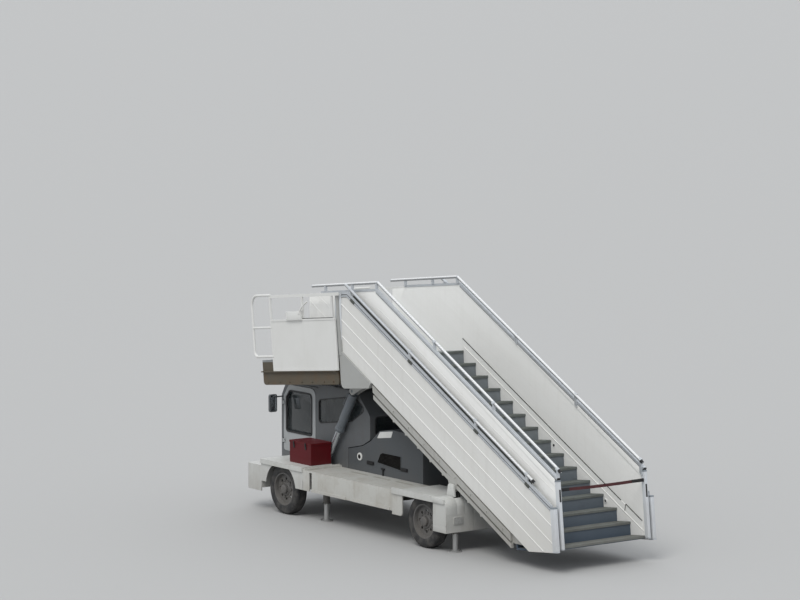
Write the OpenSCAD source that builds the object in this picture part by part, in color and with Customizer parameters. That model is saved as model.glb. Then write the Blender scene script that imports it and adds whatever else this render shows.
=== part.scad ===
// Self-propelled telescopic passenger stairs, parked with the flight lowered.
// Millimetres, +X towards the aircraft, +Z up, ground at z = 0.
// The flights are drawn in their own level attitude and tipped by park_tilt.

/* [Flight] */
// going of one step
going = 282; // [240:1:320]
// rise of one step
rise = 191; // [160:1:210]
// number of upper steps above the entry plate
upper_steps_n = 13; // [8:1:16]
// number of lower steps
lower_steps_n = 14; // [8:1:16]
// nose-down tilt of the flights as parked, degrees
park_tilt = 6.2; // [4:0.1:7]
// height of the flights' lower corner above ground
low_corner_z = 320; // [280:5:400]
// nose of the first upper step, along the flight
first_nose_a = 388; // [360:1:420]
// height of that nose above the lower corner
first_nose_b = 261; // [240:1:290]
// half of the clear width between the upper panels
clear_half = 770; // [650:5:800]
// thickness of the upper panels
upper_panel_t = 30; // [20:1:40]
// gap between the upper and lower panels
panel_gap = 60; // [40:1:80]
// thickness of the lower panels
lower_panel_t = 40; // [25:1:50]
// thickness of folded step sheet
step_t = 25; // [15:1:35]
// lower flight's nose line below the upper one
lower_drop = 420; // [380:5:460]
// radius of every handrail tube
rail_r = 21; // [16:1:25]
// height of the nosing band on every step
nosing_h = 38; // [30:1:50]
// how far the nosing stands proud
nosing_out = 12; // [8:1:18]
// width of the upper flight's end posts
upper_post_w = 70; // [60:1:80]
// width of the lower flight's end posts
lower_post_w = 90; // [70:1:100]
// upper panels' lower edge below the nose line
upper_low = 360; // [340:1:380]
// lower panels' lower edge below the nose line
lower_low = 430; // [420:1:450]
// lower panels' upper edge above the nose line
lower_up = 530; // [500:1:560]
// height of the profile on that edge
cap_h = 70; // [60:1:80]
// thickness of the skirting beside the upper steps
skirt_t = 4; // [3:1:8]

/* [Platform] */
// front edge of the platform floor, along the flight
floor_front = 7000; // [6600:10:7200]
// start of the wide part of the platform
wide_start = 4965; // [4940:5:5100]
// half width of the platform floor
floor_half = 925; // [880:5:960]
// thickness of the floor
floor_t = 30; // [20:1:40]
// depth of the side beams below the floor
beam_h = 354; // [250:2:380]
// front end of the upper side panels
panel_front = 5604; // [5400:2:5900]

/* [Guards] */
// inner face of a sliding guard
guard_y = 940; // [930:1:960]
// thickness of its panel
guard_t = 25; // [18:1:35]
// rear end of its panel
guard_rear = 4915; // [4912:1:5100]
// front post
guard_post = 6620; // [6400:5:6700]
// front of the hoop, to the tube's centre
hoop_front = 7150; // [7000:5:7300]
// height of the top rail above the corner
guard_top = 3727; // [3600:1:3800]
// height of the guard's lower edge above the corner
guard_low = 2575; // [2560:1:2600]

/* [Chassis] */
// width over the decks
deck_w = 2300; // [2100:10:2500]
// height of the deck
deck_z = 760; // [700:5:820]
// half width of the well between the decks
well_half = 460; // [440:5:480]
// rear face of the chassis
rear_x = 2225; // [2150:5:2300]
// rear axle
rear_axle_x = 2840; // [2780:5:2900]
// wheelbase
wheelbase = 3600; // [3400:10:3800]
// tyre radius
tyre_r = 390; // [360:5:410]
// tyre width
tyre_w = 205; // [180:5:230]
// rim radius
rim_r = 255; // [220:5:280]
// wheel centre in from the deck's edge
wheel_inset = 150; // [140:5:180]
// steering pin in from the wheel centre
kingpin_inset = 170; // [160:5:180]
// radius of the wheel spindles
spindle_r = 32; // [25:1:40]
// height of the frame rails' top
rail_top = 680; // [640:5:700]

/* [Cab] */
// half width of the cab
cab_half = 460; // [440:5:470]
// height of the cab roof
cab_top = 1970; // [1900:5:1990]
// front of the cab ahead of the front axle
cab_ahead = 970; // [900:5:980]
// rear of the cab's roof behind the front axle
cab_behind = 1400; // [1300:5:1440]
// wall thickness
cab_wall = 35; // [25:1:45]
// rear edge of the door behind the cab's front
door_len = 940; // [850:5:960]
// height of the door's sill
door_sill = 830; // [815:5:900]
// hinge line of the doors behind the cab's front
hinge_back = 55; // [45:1:60]

/* [Lift] */
// distance of the lift cylinders from the middle
lift_y = 540; // [530:1:560]
// height of the pivot pin
pivot_z = 930; // [900:5:960]
// position of the pivot pin
pivot_x = 2400; // [2350:5:2450]
// top pin of the lift cylinder
lift_top_x = 5320; // [5250:5:5400]
// its height
lift_top_z = 1990; // [1950:5:2050]
// base pin of the lift cylinder
lift_base_x = 6130; // [6050:5:6200]
// its height
lift_base_z = 700; // [680:5:760]
// barrel radius
barrel_r = 68; // [55:1:70]
// rod radius
rod_r = 48; // [35:1:50]

/* [Hidden] */
$fn = 48;
fit = 0.05;
slide_gap = 0.3;
seat_gap = 0.3;
upper_y = clear_half + upper_panel_t;
lower_y = upper_y + panel_gap;
outer_y = lower_y + lower_panel_t;
land_a = first_nose_a + upper_steps_n * going;
land_b = first_nose_b + upper_steps_n * rise;
// the upper panels' top edge: its height at the post and above the landing
edge_low = 921;
edge_land = 996;
// the lower flight's first nose, its upper end and the head box's rear and front
lower_a = first_nose_a + going;
lower_end = wide_start - 115;
head_rear = wide_start - 818;
head_front = wide_start - 60;
web_y = lower_y - 10;
// depths of the stringer's parts below the nose line
strip_d = [[464, 571, 1], [610, 672, 5]];
stringer_a = 1040;
hoop_top = guard_top + 23;
hoop_r = 150;
tip_x = (hoop_front - hoop_r) * cos(park_tilt) + (hoop_top - hoop_r) * sin(park_tilt)
      + hoop_r + rail_r;
mid_x = tip_x / 2;
front_axle_x = rear_axle_x + wheelbase;
deck_y = deck_w / 2;
wheel_y = deck_y - wheel_inset;
kingpin_y = wheel_y - kingpin_inset;
arch_z = 2 * tyre_r + 20;
plate = 10;
// rear and front ends of the wheel arches
rear_arch = [rear_axle_x - 300, rear_axle_x + 450];
front_arch = [front_axle_x - 598, front_axle_x + 530];
deck_front = front_arch[0] - 12;
front_x = front_axle_x + 1000;
cab_front = front_axle_x + cab_ahead;
cab_rear = front_axle_x - cab_behind;
door_rear = cab_front - door_len;
door_hinge_x = cab_front - hinge_back;
hinge_y = cab_half + 16;
hinge_zs = [960, 1560];
lift_len = sqrt(pow(lift_base_x - lift_top_x, 2) + pow(lift_top_z - lift_base_z, 2));
lift_lean = atan2(lift_base_x - lift_top_x, lift_top_z - lift_base_z);
lug_t = 48;
lug_y = outer_y - lug_t;
pin_r = 30;
rod_pin_r = 25;
// play of the rod's eye round its pin, where the linkage is open
eye_play = 7;
leg_xs = [rear_x + 110, front_axle_x - 880];
leg_y = 900;
leg_r = 40;

// height of the upper nose line at a, a point at the height d from it, and where
// a line at d from it reaches the height b
function nose(a) = first_nose_b + (a - first_nose_a) * rise / going;
function on_nose(a, d) = [a, nose(a) + d];
function at_b(b, d) = first_nose_a + (b - d - first_nose_b) * going / rise;
// a strip that follows the nose line, from a0 to a1, between the heights d0 and d1
function strip(a0, a1, d0, d1) = [on_nose(a0, d0), on_nose(a1, d0), on_nose(a1, d1), on_nose(a0, d1)];
// top edge of the upper panels
function upper_edge(a) = edge_low + (a - upper_post_w) * (land_b + edge_land - edge_low)
    / (land_a - upper_post_w);

// the same outline with each corner rounded by its radius, one for all or one for each
function rounded(p, r, n = 5) = [for (i = [0 : len(p) - 1]) let (
    b = p[i], u = towards(b, p[(i + len(p) - 1) % len(p)]), v = towards(b, p[(i + 1) % len(p)]),
    k = is_list(r) ? r[i] : r, half = acos(u * v) / 2, m = b + (u + v) / norm(u + v) * k / sin(half),
    s = b + u * k / tan(half) - m, e = b + v * k / tan(half) - m,
    turn = acos(min(1, s * e / max(k * k, 1))) * sign(s[0] * e[1] - s[1] * e[0]))
    each k == 0 ? [b] : [for (j = [0 : n]) m + spun(s, turn * j / n)]];
function towards(b, q) = (q - b) / norm(q - b);
function spun(v, w) = [v[0] * cos(w) - v[1] * sin(w), v[0] * sin(w) + v[1] * cos(w)];

module car() {
    translate([-mid_x, 0, 0]) children();
}

module stairs() {
    translate([-mid_x, 0, low_corner_z]) rotate([0, park_tilt, 0]) children();
}

module both() {
    children();
    mirror([0, 1, 0]) children();
}

module side(s) {
    if (s > 0) children();
    else mirror([0, 1, 0]) children();
}

// an outline in the side view, filled from y0 over the thickness t
module slab(pts, y0, t) {
    translate([0, y0 + t, 0]) rotate([90, 0, 0]) linear_extrude(t) polygon(pts);
}

// an outline in the rear view, as y and z, filled from x0 over the thickness t
module cross(pts, x0, t) {
    translate([x0, 0, 0]) rotate([90, 0, 90]) linear_extrude(t) polygon(pts);
}

// an outline in plan, filled from z0 over the height h
module plan(pts, z0, h) {
    translate([0, 0, z0]) linear_extrude(h) polygon(pts);
}

// a disc or pin across the vehicle, upright, and lengthwise
module pin(x, z, r, y0, t) {
    translate([x, y0, z]) rotate([-90, 0, 0]) cylinder(h = t, r = r);
}
module pinz(x, y, z, r, h) {
    translate([x, y, z]) cylinder(h = h, r = r);
}
module pinx(x, y, z, r, h) {
    translate([x, y, z]) rotate([0, 90, 0]) cylinder(h = h, r = r);
}

// round tube through points of one side view
module tube(pts, y, r) {
    for (p = pts) translate([p[0], y, p[1]]) sphere(r + 1.5);
    for (i = [0 : len(pts) - 2]) run(pts[i], pts[i + 1], y, r);
}

// one straight length of tube
module run(p, q, y, r) {
    translate([p[0], y, p[1]]) rotate([0, atan2(q[0] - p[0], q[1] - p[1]), 0])
        cylinder(h = norm(q - p), r = r);
}

// a tube bend about m, from the angle w0 on through 90 degrees
module bend(m, bend_r, w0, y, r) {
    translate([m[0], y, m[1]]) rotate([90, 0, 0]) rotate([0, 0, w0])
        rotate_extrude(angle = 90) translate([bend_r, 0]) circle(r);
}

module box(x0, x1, y0, y1, z0, z1) {
    translate([x0, y0, z0]) cube([x1 - x0, y1 - y0, z1 - z0]);
}

function rect(x0, x1, z0, z1) = [[x0, z0], [x1, z0], [x1, z1], [x0, z1]];

// folded step sheet: n risers and treads from the foot at a0, b0, and a last riser up to top_b
function step_outline(n, a0, b0, top_b) = concat([[a0, b0 - step_t - 20]],
    [for (i = [0 : n]) each [[a0 + i * going, b0 + i * rise], [a0 + (i + 1) * going, b0 + i * rise]]],
    [[a0 + (n + 1) * going, top_b], [a0 + (n + 1) * going + step_t, top_b]],
    [for (i = [n : -1 : 0]) each [[a0 + (i + 1) * going + step_t, b0 + i * rise - step_t],
        [a0 + i * going + step_t, b0 + i * rise - step_t]]],
    [[a0 + step_t, b0 - step_t - 20]]);

// nosing band that wraps a tread's front edge
module nosing(a, b, half) {
    translate([a, 0, b]) slab([[1, -nosing_h], [3 - nosing_out, -nosing_h], [-nosing_out, 4 - nosing_h],
        [-nosing_out, -3], [3 - nosing_out, 1], [45, 1], [45, -1], [1, -1]], -half, 2 * half);
}

module folded_steps(n, a0, b0, top_b, half) {
    slab(step_outline(n, a0, b0, top_b), -half, 2 * half);
    for (i = [0 : n]) nosing(a0 + i * going, b0 + i * rise, half);
}

module upper_steps() {
    color([0.38, 0.42, 0.48]) stairs() folded_steps(upper_steps_n, first_nose_a - going,
        first_nose_b - rise, land_b - nosing_h, clear_half - skirt_t);
}

module upper_panels() {
    foot_b = first_nose_b - rise;
    slot_b = land_b - floor_t + seat_gap;
    color([0.90, 0.90, 0.88]) stairs() both() {
        slab([[upper_post_w, foot_b], [at_b(foot_b, -upper_low), foot_b],
            [at_b(guard_low + 25, -upper_low), guard_low + 25], [wide_start - 5, guard_low + 25],
            [wide_start - 5, slot_b], [panel_front, slot_b], [panel_front, 3513], [5446, 3742],
            [land_a, land_b + edge_land], [upper_post_w, edge_low]], clear_half, upper_panel_t);
        // skirting beside the steps, and the plank joints outside
        slab([[130, foot_b], [at_b(foot_b, -240), foot_b], on_nose(land_a, -240),
            on_nose(land_a, 185), on_nose(130, 185)], clear_half - skirt_t, skirt_t + 1);
        for (d = [530, 770]) slab(strip(upper_post_w + 5, land_a - 60, d - 4, d + 4),
            upper_y - 1, 4);
    }
}

// clamp between a profile at the height b and the handrail tube at the height t
module rail_clamp(a, b, t, y, w) {
    slab([[a - 22, b], [a + 22, b + 2 * 22 * rise / going], [a + 18, t], [a - 18, t]], y - w / 2, w);
    translate([a, y, t]) rotate([0, 90 - atan2(rise, going), 0]) translate([0, 0, -24])
        cylinder(h = 48, r = rail_r + 7);
}

module upper_handrails() {
    y = clear_half - 25;
    rail = [[13, 1118], [land_a, land_b + 1118], [5755, land_b + 1111]];
    color([0.55, 0.58, 0.62]) stairs() both() {
        slab([[upper_post_w, edge_low], [land_a, land_b + edge_land], [5446, 3742], [5466, 3774],
            [land_a - 28, land_b + edge_land + 34], [upper_post_w, edge_low + 37]],
            clear_half - 8, upper_panel_t + 16);
        slab(rect(0, upper_post_w, 30, 985), clear_half - 8, upper_panel_t + 16);
        slab(rect(0, upper_post_w + 3, 980, 992), clear_half - 11, upper_panel_t + 22);
        tube(rail, y, rail_r);
        for (a = [60, 1420, 2730])
            rail_clamp(a, upper_edge(a) + 22, 1118 + (a - 13) * rise / going, y + 8, 28);
        for (a = [land_a + 20, 4700, 5400]) slab(rect(a - 20, a + 20, 3765, 3850), y - 6, 28);
    }
}

module entry_strap() {
    color([0.35, 0.10, 0.10]) stairs()
        box(20, 26, 8 - clear_half, clear_half - 8, 845, 890);
}

module platform_floor() {
    color([0.50, 0.52, 0.55]) stairs() {
        box(land_a, floor_front, -clear_half, clear_half, land_b - floor_t, land_b);
        // the wide part has a slot on each side that the upper panel stands in
        both() box(wide_start, floor_front, upper_y, floor_half, land_b - floor_t, land_b);
        box(panel_front + seat_gap, floor_front, -floor_half, floor_half, land_b - floor_t, land_b);
        box(land_a, land_a + step_t, 1 - clear_half, clear_half - 1, land_b - nosing_h, land_b - 1);
        nosing(land_a, land_b, clear_half - skirt_t - 1);
    }
}

module platform_frame() {
    // just clear of the floor's underside
    top = land_b - floor_t - 2 * fit;
    color([0.45, 0.43, 0.40]) stairs() {
        both() {
            slab(rounded([[wide_start, top - beam_h], [floor_front, top - beam_h],
                [floor_front, top], [wide_start, top]], [40, 60, 0, 0]), floor_half - 65, 65);
            // ledge under the sliding guard
            slab(rect(wide_start, floor_front, guard_low - 18, guard_low - slide_gap),
                floor_half - 5, guard_y + guard_t - floor_half + 5);
            for (z = [top - beam_h, top - 14]) slab(rect(wide_start + 60, floor_front - 60, z, z + 14),
                floor_half - 110, 50);
        }
        for (a = [wide_start + 60, 5640, 6250, floor_front - 120])
            box(a, a + 60, 65 - floor_half, floor_half - 65, top - 110, top);
    }
}

module guard(s) {
    y = guard_y + guard_t / 2;
    low = guard_low;
    hoop_low = 2800;
    low_r = 80;
    hoop_tube_r = rail_r - 1.5;
    color([0.92, 0.92, 0.90]) stairs() side(s) {
        slab(rect(guard_rear, guard_post, low, 3372), guard_y, guard_t);
        for (b = [low, 3340]) slab(rect(guard_rear, guard_post, b, b + 32), guard_y + guard_t - 1, 8);
        slab(rect(guard_rear - 125, guard_post + 40, guard_top - 25, hoop_top), guard_y, guard_t);
        slab([[guard_post - 10, low], [guard_post + 30, low], [guard_post + 40, guard_top],
            [guard_post, guard_top]], guard_y, guard_t);
        for (a = [guard_rear + 50, 5750])
            slab(rect(a, a + 40, 3300, guard_top), guard_y, guard_t);
        // hoop at the front, with a bar across
        run([guard_post, hoop_top], [hoop_front - hoop_r + 5, hoop_top], y, hoop_tube_r);
        bend([hoop_front - hoop_r, hoop_top - hoop_r], hoop_r, 0, y, rail_r);
        run([hoop_front, hoop_top - hoop_r + 5], [hoop_front, hoop_low + low_r - 5], y, hoop_tube_r);
        bend([hoop_front - low_r, hoop_low + low_r], low_r, -90, y, rail_r);
        run([guard_post, hoop_low], [hoop_front - low_r + 5, hoop_low], y, hoop_tube_r);
        run([guard_post, 3250], [hoop_front, 3250], y, rail_r - 4);
        // latch box of the sliding guard, on the left one only
        if (s > 0) slab(rect(5765, 6170, 3350, 3490), guard_y + guard_t + 6, 26);
    }
}
module guard_left() { guard(1); }
module guard_right() { guard(-1); }

module lower_steps() {
    foot_b = nose(lower_a) - lower_drop;
    n = lower_steps_n - 1;
    color([0.38, 0.42, 0.48]) stairs()
        folded_steps(n, lower_a, foot_b, foot_b + n * rise + 60, web_y);
}

module lower_panels() {
    color([0.93, 0.93, 0.91]) stairs() both() {
        slab([[lower_post_w, 0], [at_b(0, -lower_low), 0], on_nose(lower_end, -lower_low),
            [lower_end, 3675], [at_b(3675, lower_up), 3675], on_nose(lower_post_w, lower_up)],
            lower_y, lower_panel_t);
        // raised joints between the planks
        for (d = [-190, 65, 315]) slab(strip(max(lower_post_w, at_b(7, d)), lower_end, d - 7, d + 7),
            outer_y - 1, 5);
    }
}

module lower_stringers() {
    tooth_a = lower_a + going + 60;
    tooth_b = nose(lower_a) - lower_drop - 60;
    runner_d = -upper_low - slide_gap;
    web_t = lower_y - seat_gap - web_y;
    color([0.80, 0.80, 0.78]) difference() {
        union() {
            stairs() both() {
                slab(strip(900, lower_end, -lower_low - seat_gap, runner_d), web_y, web_t);
                slab(strip(stringer_a, head_rear, -strip_d[1][1], -lower_low), web_y, web_t);
                for (d = strip_d) slab(strip(stringer_a, head_rear, -d[1], -d[0]), web_y,
                    outer_y - web_y - d[2]);
                slab(strip(650, 4330, runner_d - 40, runner_d), clear_half + 2,
                    web_y + web_t - clear_half - 2);
                for (i = [1 : lower_steps_n - 4])
                    translate([tooth_a + i * going, 0, tooth_b + i * rise])
                        slab([[0, 0], [0, 60], [-90, 0]], web_y, web_t - 2);
            }
            car() both() {
                pin(pivot_x, pivot_z, 75, lug_y, lug_t);
                slab([[pivot_x - 75, pivot_z], [pivot_x + 75, pivot_z],
                    [pivot_x + 150, pivot_z + 195], [pivot_x - 110, pivot_z + 75]], lug_y, lug_t);
            }
        }
        car() both() pin(pivot_x, pivot_z, pin_r + fit, web_y - 1, outer_y - web_y + 2);
    }
}

module lower_head() {
    y0 = web_y + seat_gap;
    // just clear of the stringers' lower edge
    d = -lower_low - seat_gap - 2 * fit;
    color([0.72, 0.74, 0.76]) stairs() {
        both() {
            slab([on_nose(head_rear, d), [head_rear + 58, 2300], [head_front - 67, 2300],
                [head_front - 20, 2327], [head_front, 2376], [head_front, 2800],
                [head_front - 35, 2850], on_nose(lower_end, d)], y0, outer_y + 30 - y0);
            slab(rect(lower_end, head_front, 2800, 3700), outer_y + seat_gap, 35);
        }
        box(lower_end - 150, lower_end, -y0 - 10, y0 + 10, 2300, 2420);
    }
    color([0.72, 0.74, 0.76]) car() both() for (y = [lift_y - 60, lift_y + 35]) difference() {
        union() {
            pin(lift_top_x, lift_top_z, 60, y, 25);
            slab([[lift_top_x - 45, lift_top_z - 40], [lift_top_x + 40, lift_top_z + 40],
                [5080, 2160], [5010, 2110], [5010, 2070]], y, 25);
        }
        pin(lift_top_x, lift_top_z, rod_pin_r, y - 1, 27);
    }
}

module lower_handrails() {
    top = lower_up + cap_h;
    rail_d = 697;
    color([0.55, 0.58, 0.62]) stairs() both() {
        slab([on_nose(lower_post_w, lower_up), [at_b(3675, lower_up), 3675], [lower_end, 3675],
            [lower_end, 3745], [at_b(3745, top), 3745], on_nose(lower_post_w, top)],
            lower_y - 8, lower_panel_t + 16);
        slab(rect(0, lower_post_w, 0, 617), lower_y - 8, lower_panel_t + 16);
        slab(rect(0, lower_post_w + 3, 612, 624), lower_y - 11, lower_panel_t + 22);
        tube([on_nose(426, rail_d), [4658, 3851]], outer_y, rail_r);
        for (a = [580, 1680, 3160, 4560])
            rail_clamp(a, nose(a) + top - 16, nose(a) + rail_d, outer_y - 4, 28);
    }
}

module lift_barrel(s) {
    color([0.48, 0.52, 0.58]) car() side(s) translate([lift_top_x, lift_y, lift_top_z])
        rotate([0, 180 - lift_lean, 0]) difference() {
            union() {
                translate([0, 0, 70]) cylinder(h = lift_len / 2 - 70, r = barrel_r);
                translate([0, 0, lift_len / 2 - 90]) cylinder(h = 90, r = barrel_r + 6);
                rotate([-90, 0, 0]) translate([0, 0, -30]) cylinder(h = 60, r = 50);
                translate([-30, -30, 0]) cube([60, 60, 90]);
                rotate([-90, 0, 0]) translate([0, 0, -60]) cylinder(h = 120, r = rod_pin_r - fit);
            }
            translate([0, 0, 120]) cylinder(h = lift_len, r = rod_r + fit);
        }
}
module lift_barrel_left() { lift_barrel(1); }
module lift_barrel_right() { lift_barrel(-1); }

module lift_rod(s) {
    color([0.55, 0.58, 0.62]) car() side(s) translate([lift_base_x, lift_y, lift_base_z])
        rotate([0, -lift_lean, 0]) difference() {
            union() {
                translate([0, 0, 75]) cylinder(h = lift_len - 235, r = rod_r);
                translate([-28, -30, 0]) cube([56, 60, 90]);
                rotate([-90, 0, 0]) translate([0, 0, -30]) cylinder(h = 60, r = 55);
            }
            rotate([-90, 0, 0]) translate([0, 0, -31]) cylinder(h = 62, r = rod_pin_r + eye_play);
        }
}
module lift_rod_left() { lift_rod(1); }
module lift_rod_right() { lift_rod(-1); }

module chassis_frame() {
    low = rail_top - 180;
    color([0.25, 0.26, 0.28]) car() {
        both() {
            box(rear_x + 60, front_x - 160, 360, 440, low, rail_top);
            // forks that hold the flight's pivot pins
            for (y = [lug_y - 36, outer_y + 6]) difference() {
                slab(rounded([[pivot_x - 90, rail_top], [pivot_x + 90, rail_top],
                    [pivot_x + 48, pivot_z + 48], [pivot_x - 48, pivot_z + 48]], [0, 0, 30, 30]), y, 30);
                pin(pivot_x, pivot_z, pin_r, y - 1, 32);
            }
            pin(pivot_x, pivot_z, pin_r, lug_y - 36, outer_y + 72 - lug_y);
            box(pivot_x - 95, pivot_x + 95, 430, outer_y + 36, rail_top - 60, rail_top);
            box(pivot_x - 15, pivot_x + 95, 430, 520, rail_top, deck_z - 12 - seat_gap);
            // forks at the foot of the lift cylinders
            for (y = [lift_y - 72, lift_y + 42]) slab(rounded([[lift_base_x - 80, low],
                [lift_base_x + 80, low], [lift_base_x + 40, lift_base_z + 45],
                [lift_base_x - 40, lift_base_z + 45]], [0, 0, 30, 30]), y, 30);
            pin(lift_base_x, lift_base_z, rod_pin_r, lift_y - 72, 144);
            box(lift_base_x - 80, lift_base_x + 80, 430, lift_y + 72, low, low + 30);
            for (x = [3420, 4300, front_axle_x - 1040])
                box(x, x + 60, 440, deck_y - 60, rail_top - 70, rail_top);
        }
        for (x = [rear_x + 60, 3500, 4700, 5800, front_x - 240])
            box(x, x + 80, -400, 400, rail_top - 160, rail_top - 20);
    }
}

module decks() {
    rib_xs = [3420, 4300, front_axle_x - 1040];
    skirt = deck_y - 20;
    color([0.88, 0.88, 0.85]) car() both() {
        box(rear_arch[1], deck_front, well_half, deck_y, deck_z - 12, deck_z);
        box(rear_arch[1], deck_front, well_half, well_half + 12, rail_top, deck_z);
        slab(rounded([[rear_arch[1], 410], [rear_arch[1] + 245, 410], [rear_arch[1] + 245, deck_z],
            [rear_arch[1], deck_z]], [45, 0, 0, 0]), skirt, 20);
        box(rear_arch[1] + 245, deck_front - 230, skirt, deck_y, 460, deck_z);
        box(deck_front - 160, deck_front, skirt, deck_y, 460, deck_z);
        // lips along the skirt's lower edge, and the raised rim round the deck
        for (x = [[rear_arch[1] + 300, 4520], [4700, deck_front - 230]])
            box(x[0], x[1], deck_y - 1, deck_y + 12, 460, 500);
        box(rear_arch[1] + 245, deck_front, deck_y - 30, deck_y, deck_z - 1, deck_z + 10);
        box(deck_front - 50, deck_front, well_half, deck_y, deck_z - 1, deck_z + 28);
        box(deck_front, deck_front + 12, well_half, deck_y, 600, arch_z);
        for (x = rib_xs) box(x, x + 60, well_half, skirt + 1, rail_top, deck_z - 6);
    }
}

module rear_box() {
    top = arch_z + plate;
    seam_y = 645;
    // rear view outline: the lower edge curves up beyond the seams
    under = [for (w = [0 : 15 : 90]) [seam_y + (deck_y - seam_y - 10) * sin(w),
        300 + 95 * (1 - cos(w))]];
    color([0.88, 0.88, 0.85]) car() {
        difference() {
            intersection() {
                slab(rounded([[rear_x, 300], [rear_arch[0], 300], [rear_arch[0], deck_z],
                    [rear_x, deck_z]], [12, 0, 0, 150], 8), -deck_y, deck_w);
                cross(concat(under, [[deck_y, 395], [deck_y, 1000], [-deck_y, 1000], [-deck_y, 395]],
                    [for (i = [len(under) - 1 : -1 : 0]) [-under[i][0], under[i][1]]]),
                    rear_x - 1, rear_arch[0] + 2 - rear_x);
            }
            slab(rounded([[rear_x + 12, 200], [rear_arch[0] + 20, 200], [rear_arch[0] + 20, deck_z - 12],
                [rear_x + 12, deck_z - 12]], [0, 0, 0, 138], 8), 15 - deck_y, deck_w - 30);
            both() {
                box(pivot_x - 100, pivot_x + 100, lug_y - 46, outer_y + 46, deck_z - 30, deck_z + 5);
                box(rear_x - 1, rear_x + 5, seam_y - 3, seam_y + 3, 299, deck_z - 60);
            }
        }
        both() {
            box(rear_arch[0], rear_arch[1], well_half, deck_y, arch_z, top);
            // fender lip, on to the skirt behind the wheel
            slab(rounded([[rear_arch[0] - 10, 720], [rear_arch[1] + 245, 720],
                [rear_arch[1] + 245, top], [rear_arch[0] - 10, top]], [0, 15, 15, 30]), deck_y, 20);
            box(rear_arch[0] - 8, rear_arch[0] + 4, well_half, deck_y - 15, deck_z - 12, top);
            box(rear_arch[1] - plate, rear_arch[1], well_half, deck_y, deck_z, top);
        }
    }
}

module front_body() {
    top = arch_z + plate;
    color([0.88, 0.88, 0.85]) car() {
        both() {
            box(front_arch[0] + 0.3, front_arch[1], 600, deck_y, arch_z, top);
            difference() {
                box(front_arch[0] + 0.3, front_arch[1], deck_y - 12, deck_y, 460, arch_z + 1);
                pin(front_axle_x, tyre_r, arch_z - tyre_r, deck_y - 13, 14);
            }
            slab(rounded([[front_arch[0] + 0.3, 735], [front_arch[1], 735], [front_arch[1], top],
                [front_arch[0] + 0.3, top]], [0, 0, 20, 20]), deck_y - 1, 21);
            box(front_arch[0] + 0.3, front_arch[0] + plate, 600, deck_y, 460, top);
            box(front_arch[1] - plate, front_arch[1], 470, deck_y, 350, top);
        }
        // bumper and front end with its grille
        difference() {
            intersection() {
                slab(rounded([[front_arch[1], 300], [front_x, 300], [front_x, 700],
                    [front_arch[1], 700]], [0, 40, 70, 0]), -deck_y, deck_w);
                plan(rounded([[front_arch[1] - 1, -deck_y], [front_x, -deck_y], [front_x, deck_y],
                    [front_arch[1] - 1, deck_y]], [0, 160, 160, 0], 8), 200, 600);
            }
            box(front_arch[1] + 20, front_x - 30, 20 - deck_y + 120, deck_y - 140, 280, 680);
            box(front_arch[1] - 2, front_x - 180, 20 - deck_y, deck_y - 20, 280, 680);
            for (z = [430 : 34 : 600]) box(front_x - 60, front_x + 1, -330, 330, z, z + 16);
            both() pinx(front_x - 60, 830, 560, 80, 70);
        }
    }
}

module engine_cover() {
    outline = rounded([[5600, 700], [5600, 1070], [5230, 1150], [5020, 1250], [4790, 1430],
        [4510, 1480], [4080, 1470], [3700, 1240], [3700, 700]], [0, 25, 60, 60, 60, 80, 150, 80, 0]);
    inside = rounded([[5588, 690], [5588, 1060], [5222, 1138], [5012, 1240], [4784, 1418],
        [4510, 1468], [4084, 1458], [3712, 1233], [3712, 690]], [0, 15, 60, 60, 60, 80, 140, 70, 0]);
    vent = rounded([[4250, 890], [4860, 940], [4780, 1080], [4720, 1110], [4250, 1110]], 12);
    color([0.42, 0.46, 0.52]) car() {
        difference() {
            slab(outline, -well_half, 2 * well_half);
            slab(inside, 12 - well_half, 2 * well_half - 24);
            slab(vent, -well_half - 1, 2 * well_half + 2);
        }
        // louvre blades behind each vent
        both() for (z = [915 : 32 : 1080]) translate([0, well_half - 24, z]) rotate([-35, 0, 0])
            box(4230, 4890 - max(0, z - 960) / 2, 0, 20, -3, 3);
    }
}

module engine_block() {
    color([0.20, 0.20, 0.22]) car() {
        box(3900, 5000, -260, 260, rail_top, 1010);
        box(4050, 4690, seat_gap - 360, 360 - seat_gap, 520, rail_top);
    }
}

side_window = rounded([[5510, 1500], [6390, 1370], [6390, 1730], [5640, 1850], [5410, 1850],
    [5150, 1710]], [40, 60, 60, 60, 60, 60]);

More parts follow.
